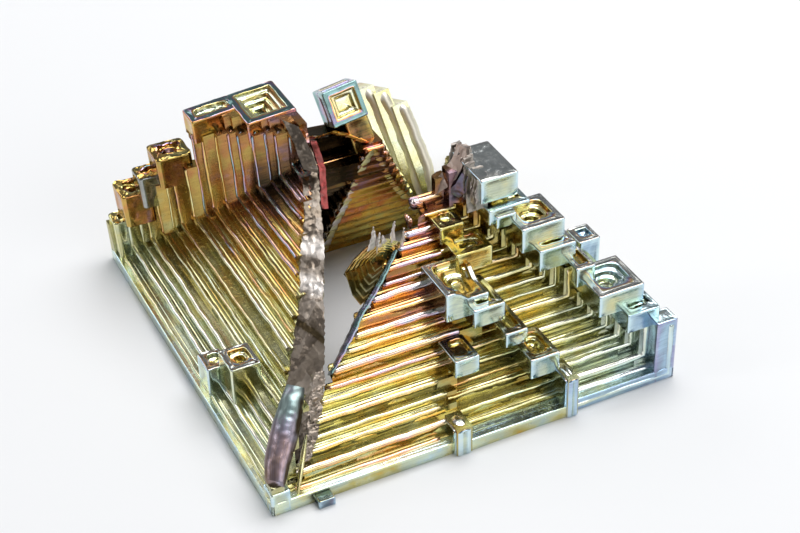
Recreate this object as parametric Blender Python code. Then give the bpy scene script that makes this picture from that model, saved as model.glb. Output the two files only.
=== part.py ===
"""Bismuth hopper crystal: the lower half of a hollow, stepped cube, broken open at the front and the top.

The crystal is laid out in millimetres from its front corner: X runs along the right base edge, Y along the
left base edge and Z up. A hopper cube grows as thin stepped sheets that lean in from its base edges at 45
degrees, and as upright fins that stand on its corners' diagonals. Every growth step is a box, the boxes are
fused on one lattice, and the breaks and the leaning grains are then cut and fused with Booleans.
"""

import itertools

import bmesh
import bpy
import numpy as np
from mathutils import Euler, Matrix, Vector

MM = 0.001

# Base of the half cube
SIDE_X = 40.0
SIDE_Y = 42.0
RIM_HEIGHT = 1.25
RIM_WIDTH = 1.7

# Stepped sheets
PITCH = 0.85
TREAD = 2.0
HANG = 1.15
FIN_WIDTH = 0.5
UNEVENNESS = 0.2
STEP_WAVE = 2.1
RIGHT_PHASE = 0.5
FIN_FOOT = 1.0

# Hopper pits
PIT_MARGIN = 0.5
PIT_STEP = 0.4
PIT_DEPTH = 0.45
LEAST_PIT = 0.3

# Height to which each sheet has grown, and where it starts along the base edge: (height, place) pairs
RIGHT_TOP = 15.5
RIGHT_START = ((0, 0.5), (7, 7.5), (17, 17.5))
LEFT_TOP = 17.0
LEFT_PHASE = 2.0
LEFT_START = ((0, 0.5), (7, 7.5), (17, 17.5))
REAR_TOP = 13.0
REAR_RIGHT_TOP = 10.5
REAR_NOTCH = 1.8
REAR_END = 30.5
REAR_END_LEAN = 0.5
RIDGE_OVERLAP = 0.6
LEAST_STEP = 0.7

# Ridges that part the right sheet into three panels: (height, distance along the base edge) pairs
NEAR_RIDGE = ((0, 17.4), (3, 18.6), (5, 19.8), (6.9, 23.8))
NEAR_RIDGE_TOP = 6.9
FAR_RIDGE = ((0, 29.5), (7, 24.3), (10, 22.4), (13.2, 21.8), (16, 21.8))
MIDDLE_SETBACK = 0.7
FAR_SETBACK = 0.35

# Upright fins: (distance in from the corner, height of the top) pairs
RIGHT_FIN = (
    (0, 6.6),
    (1.2, 6.7),
    (1.3, 7.3),
    (2.3, 7.5),
    (2.4, 8.0),
    (6.2, 8.2),
    (6.3, 10.8),
    (7.5, 11.2),
    (7.6, 12.4),
    (8.6, 12.5),
    (8.7, 13.4),
    (11.8, 13.7),
    (11.9, 15.6),
    (12.8, 17.6),
    (14, 19.2),
    (16, 17.3),
)
LEFT_FIN = (
    (0, 4.8),
    (1.0, 5.0),
    (1.1, 8.4),
    (2.7, 8.6),
    (2.8, 10.6),
    (4.2, 10.8),
    (4.3, 13.2),
    (6.8, 13.5),
    (6.9, 17.2),
    (14, 18.4),
    (16, 17.6),
)
FRONT_FIN = ((0, 3.1), (1.5, 5.4), (4, 7.2), (7, 7.6))
RIGHT_FIN_REACH = 15.6
LEFT_FIN_REACH = 15.8
FRONT_FIN_REACH = 6.4
LEFT_LEAN = 0.06
TOP_SLAB = 19.0
TOP_SLAB_FOOT = 15.9
TOP_SLAB_START = 7.0
TOP_SLAB_X = 16.2
TOP_SLAB_Y = 35.2
TOP_SLAB_RISE = 0.1

# Where the lean sets in: (start, distance over which it grows) along Y, and back from its end along X
LEAN_ALONG = (20.0, 6.0)
LEAN_BACK = (18.0, 2.0)
LEAN_CLEARANCE = 1.5
SLAB_RISE_FROM = 7.0
SLAB_RISE_UP = (14.0, 2.0)

# Blocks: (x span, y span, z span, pit levels, pit margin)
RIGHT_FIN_BLOCKS = (
    ((37.9, 40.0), (0.0, 1.9), (0.0, 6.8), 1, 0.5),
    ((35.5, 38.8), (1.2, 4.0), (5.8, 7.8), 2, 0.45),
    ((33.1, 37.7), (2.3, 7.2), (7.7, 10.0), 4, 0.7),
    ((32.4, 34.3), (5.2, 8.4), (9.4, 11.4), 1, 0.4),
    ((29.4, 33.1), (6.7, 9.4), (11.2, 13.4), 2, 0.5),
    ((28.1, 32.4), (7.6, 12.1), (13.1, 15.6), 4, 0.65),
    ((26.6, 28.6), (9.6, 13.4), (15.0, 16.2), 1, 0.4),
    ((26.0, 30.1), (9.9, 12.4), (15.4, 16.9), 1, 0.6),
    ((25.6, 29.3), (10.7, 16.4), (17.3, 19.7), 0, 0.0),
    ((27.0, 28.7), (11.4, 14.6), (13.0, 18.0), 0, 0.0),
    ((35.8, 38.0), (10.4, 12.9), (0.6, 9.9), 1, 0.5),
    ((33.2, 37.0), (9.0, 11.6), (4.0, 8.4), 0, 0.0),
)
RIDGE_BLOCKS = (
    ((19.7, 23.9), (6.0, 11.0), (9.5, 12.4), 0, 0.0),
    ((21.9, 25.0), (5.0, 9.8), (8.7, 10.6), 1, 0.6),
    ((24.3, 26.5), (3.5, 8.0), (6.7, 8.2), 1, 0.5),
    ((25.7, 28.6), (1.4, 5.6), (4.1, 6.2), 2, 0.5),
    ((28.3, 29.6), (-0.6, 2.4), (0.0, 4.5), 0, 0.0),
    ((17.2, 18.9), (-0.6, 1.9), (0.0, 3.1), 0, 0.0),
    ((19.0, 21.4), (3.0, 6.4), (5.6, 7.4), 2, 0.4),
    ((22.6, 26.2), (9.6, 12.6), (11.4, 13.4), 2, 0.5),
    ((22.2, 24.6), (12.0, 14.6), (13.2, 15.0), 1, 0.5),
)
CORNER_PIT = ((19.7, 23.9), (6.0, 11.0), 12.4, 4, 0.5, (0.1, -0.12))
CORNER_NOTCH = ((21.2, 23.9), (6.0, 9.2), (11.5, 12.4))
LEFT_FIN_BLOCKS = (
    ((0.3, 2.3), (39.5, 41.7), (0.0, 5.6), 1, 0.5),
    ((1.1, 4.0), (37.4, 40.6), (6.2, 9.7), 2, 0.5),
    ((2.8, 5.4), (36.6, 39.0), (8.4, 11.8), 1, 0.5),
    ((4.3, 7.6), (34.6, 37.8), (11.4, 14.6), 2, 0.5),
)
LEFT_SHEET_BLOCKS = (
    ((1.6, 4.4), (12.2, 15.4), (2.0, 6.4), 2, 0.5),
    ((0.5, 2.6), (15.6, 18.2), (1.0, 4.4), 1, 0.5),
)
TOP_SLAB_PITS = (
    ((7.6, 11.6), (32.0, 35.2), TOP_SLAB, 3, 0.6),
    ((11.6, 16.0), (29.4, 35.2), TOP_SLAB, 4, 0.6),
)

# The small bars under the base rim, and how far its middle panel stands out
RIM_KNOB = ((3.9, 5.4), (-1.0, 0.3), (0, 0.8))
RIM_STEP_OUT = 0.4
RIM_NOTCH = 5.0

# The rear wall's inner face: its foot, how far it leans in, its two sides, and the rise of its steps
WALL_FRONT = 32.6
WALL_LEAN = 6.4
WALL_LEFT = (18.8, 3.0)
WALL_RIGHT = (31.0, 8.0)
WALL_TOP = 15.4
WALL_APEX = 15.9
WALL_STEP = 1.1
WALL_OVERLAP = 0.2
WALL_SIDE_SETBACK = 2.6
WALL_SIDE_START = 12.0
WALL_SIDE_LEAN = 0.25
WALL_BACK_LEAN = 0.8
WALL_BACK_FOOT = 1.5
WALL_SIDE_OVERLAP = 0.5

# The break, seen from above: the shaft where the front ridge and the apex are missing
BREACH = (
    (6.2, 5.0),
    (8.2, 8.0),
    (10.1, 11.6),
    (12.8, 16.6),
    (14.3, 20.4),
    (15.8, 25.2),
    (16.6, 28.2),
    (19.4, 27.4),
    (22.4, 25.6),
    (24.8, 21.0),
    (24.2, 16.7),
    (21.6, 14.5),
    (18.0, 12.4),
    (14.2, 10.1),
    (10.6, 7.8),
    (8.0, 6.0),
)
BREACH_LEVELS = (-2.0, 4.0, 8.0, 11.0, 14.0, 17.0, 26.0)
BREAK_GRAIN = 1.3
BREAK_ROUGHNESS = 0.28
BREAK_SEED = 7

# The slanting break along the left sheet's front edge: (height, place along Y) at its outer and inner side
EDGE_OUTER = (
    (1.1, 2.3),
    (5.3, 8.3),
    (7.4, 11.3),
    (9.8, 14.7),
    (11.6, 18.7),
    (13.3, 21.2),
    (15.5, 26.5),
    (17.6, 29.8),
)
EDGE_INNER = (
    (1.5, 2.1),
    (3.6, 3.9),
    (5.9, 5.6),
    (7.7, 8.3),
    (9.3, 11.6),
    (10.8, 15.1),
    (13.6, 21.5),
    (16.8, 29.4),
)
EDGE_OUTER_X = -0.3
EDGE_INNER_X = 1.2
EDGE_LEVELS = (1.6, 3.0, 4.4, 5.8, 7.2, 8.6, 10.0, 11.4, 12.8, 14.2, 15.6, 17.0)
EDGE_REACH = ((1.6, 0.5), (7.0, 0.6), (9.0, 4.0), (11.0, 6.0), (14.0, 9.0), (17.0, 12.5))
EDGE_OUTER_SHARE = 0.9
EDGE_INNER_SHARE = 0.5
EDGE_ROUGHNESS = 0.16

# The broken slope on top of the front fin
SLOPE_SPAN = (-1.5, 7.5)
SLOPE_BASE = 3.2
SLOPE_RISE = 0.85
SLOPE_ROUGHNESS = 0.4
SLOPE_POINTS = 7
SLOPE_THICKNESS = 9.0

# The leaning crystals at the back, each turned about its own foot
REAR_TILT = (-26.0, -9.0, 0.0)
KNOB_FOOT = (21.3, 30.2, 17.3)
KNOB_STALK = ((-0.6, 1.7), (-1.2, 1.2), (-3.8, 0.0))
KNOB_CUBE = ((-1.8, 1.8), (-1.6, 1.6), (-0.6, 2.9), 2, 0.5)
KNOB_FRONT_LEVELS = 3
CURTAIN_FOOT = (28.3, 32.0, 4.2)
CURTAIN_TOPS = (9.6, 11.4, 12.2, 9.0, 7.5, 6.5)
CURTAIN_RIGHT = 3.4
CURTAIN_PITCH = 1.15
CURTAIN_RIB = 1.8
CURTAIN_FRONT = -1.6
CURTAIN_SETBACK = 0.7
CURTAIN_BACK = 4.4
CURTAIN_BASE = -1.0

# The broken shard that hangs behind the right sheet's edge
SHARD = (
    (13.9, 14.6, 10.8),
    (14.2, 16.0, 10.2),
    (16.1, 15.0, 12.8),
    (17.2, 14.2, 14.2),
    (19.6, 13.2, 13.2),
    (20.2, 12.6, 10.4),
    (17.4, 15.4, 6.9),
    (15.9, 14.8, 6.6),
    (19.0, 16.0, 11.0),
)

# Everything under the flat base
BELOW_BASE = ((-5.0, 60.0), (-5.0, 60.0), (-9.0, 0.0))

SNAP = 0.05


def at(height, pairs):
    """The place that a list of (height, place) pairs gives for a height, on straight lines between them."""
    heights, places = zip(*pairs)
    return float(np.interp(height, heights, places))


class Lattice:
    """Boxes added and cut in order, fused into one closed mesh on the planes of their faces."""

    def __init__(self):
        self.boxes = []

    def add(self, x, y, z):
        self.boxes.append((True, x, y, z))

    def cut(self, x, y, z):
        self.boxes.append((False, x, y, z))

    def cells(self):
        """The planes along each axis, and which cells between them are full."""
        spans = np.round(np.array([box[1:] for box in self.boxes]) / SNAP) * SNAP
        planes = [np.unique(np.round(spans[:, axis], 4)) for axis in range(3)]
        planes = [np.concatenate([[p[0] - 1], p, [p[-1] + 1]]) for p in planes]
        full = np.zeros([len(p) - 1 for p in planes], bool)
        for (solid, *_), span in zip(self.boxes, spans):
            low = [np.searchsorted(planes[axis], span[axis, 0] - SNAP / 4) for axis in range(3)]
            high = [np.searchsorted(planes[axis], span[axis, 1] - SNAP / 4) for axis in range(3)]
            full[low[0] : high[0], low[1] : high[1], low[2] : high[2]] = solid
        return planes, full

    def mesh(self, name):
        planes, full = self.cells()
        full = without_voids(without_pinches(full))
        points, faces = skin_of(planes, full)
        mesh = bpy.data.meshes.new(name)
        mesh.from_pydata((points * MM).tolist(), [], faces.tolist())
        flat = bmesh.new()
        flat.from_mesh(mesh)
        bmesh.ops.dissolve_limit(flat, angle_limit=0.001, verts=flat.verts, edges=flat.edges)
        bmesh.ops.triangulate(flat, faces=flat.faces)
        flat.to_mesh(mesh)
        flat.free()
        return mesh


def joined(cells):
    """Whether the cells of a 2 x 2 x 2 block hold together through shared faces."""
    cells = set(cells)
    if not cells:
        return True
    reached = {min(cells)}
    grown = True
    while grown:
        near = {
            cell
            for cell in cells - reached
            for other in reached
            if sum(abs(a - b) for a, b in zip(cell, other)) == 1
        }
        reached |= near
        grown = bool(near)
    return reached == cells


def pinch_repairs():
    """For each pattern of a 2 x 2 x 2 block, the least fuller pattern whose skin is a clean surface."""
    corners = list(itertools.product((0, 1), repeat=3))
    clean = []
    for pattern in range(256):
        full = [c for bit, c in enumerate(corners) if pattern >> bit & 1]
        empty = [c for bit, c in enumerate(corners) if not pattern >> bit & 1]
        clean.append(joined(full) and joined(empty))
    repairs = np.arange(256)
    for pattern in range(256):
        if not clean[pattern]:
            wider = [p for p in range(256) if clean[p] and p & pattern == pattern]
            repairs[pattern] = min(wider, key=lambda p: (bin(p).count("1"), p))
    return corners, repairs


def without_pinches(full):
    """Cells filled until no two of them meet only along an edge or at a point."""
    corners, repairs = pinch_repairs()
    full = full.copy()
    nx, ny, nz = (n - 1 for n in full.shape)
    while True:
        pattern = np.zeros((nx, ny, nz), int)
        for bit, (i, j, k) in enumerate(corners):
            pattern |= full[i : nx + i, j : ny + j, k : nz + k].astype(int) << bit
        pinched = np.argwhere(repairs[pattern] != pattern)
        if not len(pinched):
            return full
        for i, j, k in pinched:
            wanted = repairs[pattern[i, j, k]]
            for bit, (a, b, c) in enumerate(corners):
                if wanted >> bit & 1:
                    full[i + a, j + b, k + c] = True


def without_voids(full):
    """Cells filled wherever the outside can't be reached through empty cells."""
    outside = np.zeros_like(full)
    outside[0, 0, 0] = True
    count = 0
    while outside.sum() > count:
        count = outside.sum()
        for axis in range(3):
            for sense in (1, -1):
                view = np.moveaxis(outside, axis, 0)[::sense]
                empty = ~np.moveaxis(full, axis, 0)[::sense]
                for layer in range(1, len(view)):
                    view[layer] |= view[layer - 1] & empty[layer]
    return ~outside


def skin_of(planes, full):
    """The points and the outward square faces between full and empty cells."""
    counts = [len(p) for p in planes]
    quads = []
    for axis in range(3):
        step = np.diff(full.astype(int), axis=axis)
        for sense in (1, -1):
            cell = np.argwhere(step == -sense)
            cell[:, axis] += 1
            u = np.zeros(3, int)
            v = np.zeros(3, int)
            u[(axis + 1) % 3] = 1
            v[(axis + 2) % 3] = 1
            ring = [cell, cell + u, cell + u + v, cell + v]
            if sense < 0:
                ring.reverse()
            index = [(c[:, 0] * counts[1] + c[:, 1]) * counts[2] + c[:, 2] for c in ring]
            quads.append(np.stack(index, 1))
    quads = np.concatenate(quads)
    used, faces = np.unique(quads, return_inverse=True)
    faces = faces.reshape(quads.shape)
    i, rest = np.divmod(used, counts[1] * counts[2])
    j, k = np.divmod(rest, counts[2])
    return np.stack([planes[0][i], planes[1][j], planes[2][k]], 1), faces


def steps(top, phase=RIGHT_PHASE):
    """The height and the rise of each growth step of a sheet, from its base to its top, slightly uneven."""
    count = np.arange(1 + int(top / PITCH))
    heights = PITCH * (count + UNEVENNESS * (np.sin(STEP_WAVE * count + phase) - np.sin(phase)))
    return list(zip(heights, np.diff(heights, append=heights[-1] + PITCH)))


def right_sheet(crystal):
    """Steps along X that lean in from the front base edge, in three panels parted by two ridges."""
    for height, rise in steps(RIGHT_TOP):
        start = at(height, RIGHT_START)
        far_ridge = at(height, FAR_RIDGE)
        near_ridge = at(height, NEAR_RIDGE) if height < NEAR_RIDGE_TOP else far_ridge
        ends = (
            (start, near_ridge + RIDGE_OVERLAP, 0),
            (near_ridge, far_ridge + RIDGE_OVERLAP, MIDDLE_SETBACK),
            (far_ridge, SIDE_X - height, FAR_SETBACK),
        )
        for x0, x1, setback in ends:
            front = height + setback
            if x1 - x0 > LEAST_STEP:
                crystal.add((x0, x1), (front, front + TREAD), (height - HANG, height + rise))


def left_sheet(crystal):
    """Steps along Y that lean in from the left base edge."""
    for height, rise in steps(LEFT_TOP, LEFT_PHASE):
        start = at(height, LEFT_START)
        crystal.add((height, height + TREAD), (start, SIDE_Y - height), (height - HANG, height + rise))


def rear_sheets(crystal):
    """Steps that lean in from the two rear base edges."""
    for height, rise in steps(REAR_TOP):
        x1 = SIDE_X - height
        y1 = SIDE_Y - height
        if height < REAR_RIGHT_TOP:
            y_end = min(y1, SIDE_Y - REAR_NOTCH * height)
            crystal.add((x1 - TREAD, x1), (height, y_end), (height - HANG, height + rise))
        x_end = min(x1, REAR_END - REAR_END_LEAN * height)
        crystal.add((height, x_end), (y1 - TREAD, y1), (height - HANG, height + rise))


def base_rim(crystal):
    """The band that runs round the base."""
    height = (0, RIM_HEIGHT)
    crystal.add((0, SIDE_X), (0, RIM_WIDTH), height)
    crystal.add((at(0, NEAR_RIDGE), at(0, FAR_RIDGE)), (-RIM_STEP_OUT, RIM_WIDTH), height)
    crystal.add(*RIM_KNOB)
    crystal.add((0, RIM_WIDTH), (0, SIDE_Y), height)
    crystal.add((SIDE_X - RIM_WIDTH, SIDE_X), (0, SIDE_Y - RIM_NOTCH), height)
    crystal.add((0, SIDE_X - RIM_NOTCH), (SIDE_Y - RIM_WIDTH, SIDE_Y), height)


def upright_fin(crystal, corner, inward, tops, reach, phase=RIGHT_PHASE, foot=FIN_FOOT):
    """Columns along a corner's diagonal, each as high as the fin's outline there."""
    for run, rise in steps(reach, phase):
        width = rise + FIN_WIDTH
        spans = []
        for place, sense in zip(corner, inward):
            edge = place + sense * run
            spans.append(tuple(sorted((edge, edge + sense * width))))
        crystal.add(spans[0], spans[1], (max(0, run - foot), at(run, tops)))


def pit(crystal, x, y, top, levels, margin=PIT_MARGIN, drift=(0.0, 0.0)):
    """A square pit that steps down into a block's top, each step moved on by the drift."""
    for level in range(levels):
        inset = margin + level * PIT_STEP
        if x[1] - x[0] > 2 * inset + LEAST_PIT and y[1] - y[0] > 2 * inset + LEAST_PIT:
            floor = top - (level + 1) * PIT_DEPTH
            moved_x, moved_y = drift[0] * level, drift[1] * level
            span_x = (x[0] + inset + moved_x, x[1] - inset + moved_x)
            span_y = (y[0] + inset + moved_y, y[1] - inset + moved_y)
            crystal.cut(span_x, span_y, (floor, top))


def block(crystal, x, y, z, levels, margin):
    """A block with a pit of that many levels in its top."""
    crystal.add(x, y, z)
    pit(crystal, x, y, z[1], levels, margin)


def ridge_blocks(crystal):
    """Blocks on the two ridges of the right sheet, the largest with a pit whose front right corner is low."""
    block(crystal, *RIDGE_BLOCKS[0])
    crystal.cut(*CORNER_NOTCH)
    pit(crystal, *CORNER_PIT)
    for size in RIDGE_BLOCKS[1:]:
        block(crystal, *size)


def top_slab(crystal):
    """The slab on the left fin's top: columns along the diagonal, then two pits."""
    for run, _ in steps(LEFT_FIN_REACH, LEFT_PHASE):
        if run > TOP_SLAB_START:
            crystal.add((run, TOP_SLAB_X), (SIDE_Y - run, TOP_SLAB_Y), (TOP_SLAB_FOOT, TOP_SLAB))
    for size in TOP_SLAB_PITS:
        pit(crystal, *size)


def rear_wall(crystal):
    """The thick rear part: its inner face leans forward in steps, with a set-back face on its left."""
    for height in np.arange(0, WALL_TOP, WALL_STEP):
        share = height / WALL_APEX
        front = WALL_FRONT - WALL_LEAN * share
        left = WALL_LEFT[0] + WALL_LEFT[1] * share
        right = WALL_RIGHT[0] - WALL_RIGHT[1] * share
        side = WALL_SIDE_START + WALL_SIDE_LEAN * height
        back = SIDE_Y - WALL_BACK_LEAN * max(0, height - WALL_BACK_FOOT)
        rise = (height, height + WALL_STEP + WALL_OVERLAP)
        crystal.add((left, right), (front, back), rise)
        crystal.add((side, left + WALL_SIDE_OVERLAP), (front + WALL_SIDE_SETBACK, back), rise)


def hopper_crystal_lattice():
    crystal = Lattice()
    right_sheet(crystal)
    left_sheet(crystal)
    rear_sheets(crystal)
    rear_wall(crystal)
    base_rim(crystal)
    upright_fin(crystal, (SIDE_X, 0), (-1, 1), RIGHT_FIN, RIGHT_FIN_REACH)
    upright_fin(crystal, (0, SIDE_Y), (1, -1), LEFT_FIN, LEFT_FIN_REACH, LEFT_PHASE)
    upright_fin(crystal, (0, 0), (1, 1), FRONT_FIN, FRONT_FIN_REACH)
    for size in RIGHT_FIN_BLOCKS:
        block(crystal, *size)
    ridge_blocks(crystal)
    for size in LEFT_FIN_BLOCKS:
        block(crystal, *size)
    top_slab(crystal)
    for size in LEFT_SHEET_BLOCKS:
        block(crystal, *size)
    crystal.cut(*BELOW_BASE)
    return crystal


def lean(mesh):
    """Leans what stands above the left sheet outwards, and lifts the right end of the slab on top of it."""
    for vertex in mesh.vertices:
        x, y, z = vertex.co / MM
        along = (y - LEAN_ALONG[0]) / LEAN_ALONG[1]
        back = (LEAN_BACK[0] - x) / LEAN_BACK[1]
        up = (z - SLAB_RISE_UP[0]) / SLAB_RISE_UP[1]
        share = min(1, max(0, along)) * min(1, max(0, back))
        rise = max(0, z - x - LEAN_CLEARANCE) * share
        lift = max(0, x - SLAB_RISE_FROM) * min(1, max(0, up)) * share
        vertex.co += Vector((-LEFT_LEAN * rise, LEFT_LEAN / 2 * rise, TOP_SLAB_RISE * lift)) * MM


def ragged_shaft(outline_at, levels, roughness, seed):
    """A closed shaft through an outline at each level, whose walls wander from point to point."""
    rng = np.random.default_rng(seed)
    first = np.array(outline_at(levels[0]))
    lengths = np.linalg.norm(np.roll(first, -1, 0) - first, axis=1)
    counts = [max(1, round(length / BREAK_GRAIN)) for length in lengths]
    shaft = bmesh.new()
    rows = []
    for level in levels:
        corners = np.array(outline_at(level))
        ring = []
        for start, end, count in zip(corners, np.roll(corners, -1, 0), counts):
            ring += [start + (end - start) * share for share in np.arange(count) / count]
        wander = rng.uniform(-roughness, roughness, (len(ring), 3))
        points = np.column_stack([ring, np.full(len(ring), level)]) + wander
        rows.append([shaft.verts.new(point * MM) for point in points])
    for low, high in zip(rows[:-1], rows[1:]):
        for i in range(len(low)):
            j = (i + 1) % len(low)
            shaft.faces.new((low[i], low[j], high[j], high[i]))
    shaft.faces.new(rows[0])
    shaft.faces.new(rows[-1])
    return shaft


def edge_outline(level):
    """What the left sheet's front edge loses at a height: all in front of its outer and its inner side."""
    outer = np.array([level + EDGE_OUTER_X, at(level, EDGE_OUTER)])
    inner = np.array([level + EDGE_INNER_X, at(level, EDGE_INNER)])
    slant = outer - inner
    left = outer + EDGE_OUTER_SHARE * slant
    right = inner - EDGE_INNER_SHARE * slant
    reach = at(level, EDGE_REACH)
    return [left, right, (right[0], right[1] - reach), (left[0], right[1] - reach)]


def ragged_cap():
    """A closed slab over the front fin, whose underside is a broken slope that rises inwards."""
    rng = np.random.default_rng(BREAK_SEED + 1)
    count = SLOPE_POINTS
    places = np.linspace(*SLOPE_SPAN, count)
    cap = bmesh.new()
    layers = []
    for extra in (0, SLOPE_THICKNESS):
        rows = []
        for px in places:
            row = []
            for py in places:
                wander = rng.uniform(-SLOPE_ROUGHNESS, SLOPE_ROUGHNESS)
                height = SLOPE_BASE + SLOPE_RISE * (px + py) / 2 + extra + wander
                row.append(cap.verts.new(Vector((px, py, height)) * MM))
            rows.append(row)
        layers.append(rows)
    for rows in layers:
        for i in range(count - 1):
            for j in range(count - 1):
                cap.faces.new((rows[i][j], rows[i + 1][j], rows[i + 1][j + 1], rows[i][j + 1]))
    low, high = layers
    edge = [(i, 0) for i in range(count - 1)] + [(count - 1, j) for j in range(count - 1)]
    edge += [(i, count - 1) for i in range(count - 1, 0, -1)] + [(0, j) for j in range(count - 1, 0, -1)]
    for (a, b), (c, d) in zip(edge, edge[1:] + edge[:1]):
        cap.faces.new((low[a][b], low[c][d], high[c][d], high[a][b]))
    return cap


def chunk(points):
    """The closed convex body round a few points."""
    body = bmesh.new()
    for point in points:
        body.verts.new(Vector(point) * MM)
    bmesh.ops.convex_hull(body, input=body.verts)
    return body


def rear_knob():
    """The cube that stands on the rear wall's apex, with a square pit in its top and in its front."""
    knob = Lattice()
    knob.add(*KNOB_STALK)
    block(knob, *KNOB_CUBE)
    x, y, z = KNOB_CUBE[:3]
    for level in range(KNOB_FRONT_LEVELS):
        inset = PIT_MARGIN + PIT_STEP * level
        depth = PIT_STEP * (level + 1)
        knob.cut((x[0] + inset, x[1] - inset), (y[0], y[0] + depth), (z[0] + inset, z[1] - inset))
    return knob.mesh("rear_knob")


def rear_curtain():
    """Upright ribs that step back to the left, behind the right fin's broken end."""
    curtain = Lattice()
    for step, top in enumerate(CURTAIN_TOPS):
        right = CURTAIN_RIGHT - CURTAIN_PITCH * step
        front = CURTAIN_FRONT + CURTAIN_SETBACK * step
        curtain.add((right - CURTAIN_RIB, right), (front, CURTAIN_BACK), (CURTAIN_BASE, top))
    return curtain.mesh("rear_curtain")


def helper(name, mesh_or_body):
    """A hidden object that a Boolean reads."""
    mesh = mesh_or_body
    if isinstance(mesh, bmesh.types.BMesh):
        bmesh.ops.triangulate(mesh, faces=mesh.faces)
        bmesh.ops.recalc_face_normals(mesh, faces=mesh.faces)
        body = mesh
        mesh = bpy.data.meshes.new(name)
        body.to_mesh(mesh)
        body.free()
    thing = bpy.data.objects.new(name, mesh)
    bpy.context.scene.collection.objects.link(thing)
    thing.hide_render = True
    thing.display_type = "WIRE"
    return thing


def combine(crystal, other, operation):
    modifier = crystal.modifiers.new(other.name, "BOOLEAN")
    modifier.operation = operation
    modifier.solver = "EXACT"
    modifier.object = other


def clear_scene():
    for thing in list(bpy.data.objects):
        bpy.data.objects.remove(thing, do_unlink=True)


def bismuth():
    """Bismuth under its thin oxide film: a metal with a pale gold cast."""
    material = bpy.data.materials.new("bismuth_oxide_gold")
    material.use_nodes = True
    shader = material.node_tree.nodes["Principled BSDF"]
    shader.inputs["Base Color"].default_value = (0.62, 0.55, 0.30, 1.0)
    shader.inputs["Metallic"].default_value = 1.0
    shader.inputs["Roughness"].default_value = 0.22
    return material


def main():
    clear_scene()
    mesh = hopper_crystal_lattice().mesh("bismuth_crystal")
    lean(mesh)
    mesh.materials.append(bismuth())
    crystal = bpy.data.objects.new("bismuth_crystal", mesh)
    bpy.context.scene.collection.objects.link(crystal)
    breach = ragged_shaft(lambda level: BREACH, BREACH_LEVELS, BREAK_ROUGHNESS, BREAK_SEED)
    edge = ragged_shaft(edge_outline, EDGE_LEVELS, EDGE_ROUGHNESS, BREAK_SEED + 2)
    combine(crystal, helper("breach", breach), "DIFFERENCE")
    combine(crystal, helper("left_edge_break", edge), "DIFFERENCE")
    combine(crystal, helper("front_fin_break", ragged_cap()), "DIFFERENCE")
    tilt = Euler(np.radians(REAR_TILT)).to_matrix().to_4x4()
    for name, mesh, foot in (("knob", rear_knob(), KNOB_FOOT), ("curtain", rear_curtain(), CURTAIN_FOOT)):
        mesh.transform(Matrix.Translation(Vector(foot) * MM) @ tilt)
        combine(crystal, helper(name, mesh), "UNION")
    combine(crystal, helper("shard", chunk(SHARD)), "UNION")
    corners = np.array([vertex.co for vertex in crystal.data.vertices])
    middle = Vector((corners.min(0) + corners.max(0)) / 2)
    middle.z = 0
    for thing in bpy.data.objects:
        thing.data.transform(Matrix.Translation(-middle))


main()
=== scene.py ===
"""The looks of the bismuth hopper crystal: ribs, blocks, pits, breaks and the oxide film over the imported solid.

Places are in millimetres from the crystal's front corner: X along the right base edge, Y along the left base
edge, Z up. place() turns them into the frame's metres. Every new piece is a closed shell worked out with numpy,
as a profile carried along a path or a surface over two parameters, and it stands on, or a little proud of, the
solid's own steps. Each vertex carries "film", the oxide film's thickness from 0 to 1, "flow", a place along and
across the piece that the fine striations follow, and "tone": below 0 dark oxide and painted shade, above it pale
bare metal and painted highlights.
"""

import bmesh
import bpy
import numpy as np
from mathutils import Matrix, Vector


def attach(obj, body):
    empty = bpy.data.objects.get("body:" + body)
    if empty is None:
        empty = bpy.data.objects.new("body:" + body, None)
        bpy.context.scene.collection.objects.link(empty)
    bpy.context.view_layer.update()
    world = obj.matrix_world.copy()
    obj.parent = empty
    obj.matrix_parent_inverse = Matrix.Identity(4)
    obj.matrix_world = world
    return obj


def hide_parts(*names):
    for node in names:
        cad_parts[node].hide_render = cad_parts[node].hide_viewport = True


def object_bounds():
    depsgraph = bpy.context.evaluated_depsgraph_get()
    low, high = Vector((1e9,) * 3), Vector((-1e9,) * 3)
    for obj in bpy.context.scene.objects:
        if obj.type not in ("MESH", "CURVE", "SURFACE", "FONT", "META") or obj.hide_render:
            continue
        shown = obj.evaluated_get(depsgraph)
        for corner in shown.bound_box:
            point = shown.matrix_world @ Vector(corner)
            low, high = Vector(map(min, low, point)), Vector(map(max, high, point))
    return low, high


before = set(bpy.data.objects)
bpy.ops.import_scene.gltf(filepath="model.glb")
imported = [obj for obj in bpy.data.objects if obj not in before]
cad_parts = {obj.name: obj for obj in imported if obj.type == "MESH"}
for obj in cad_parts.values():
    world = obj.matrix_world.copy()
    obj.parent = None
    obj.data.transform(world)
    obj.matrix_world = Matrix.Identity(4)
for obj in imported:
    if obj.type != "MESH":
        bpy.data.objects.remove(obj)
cad_low, cad_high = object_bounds()

MM = 0.001
NODE = "bismuth_crystal"

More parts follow.
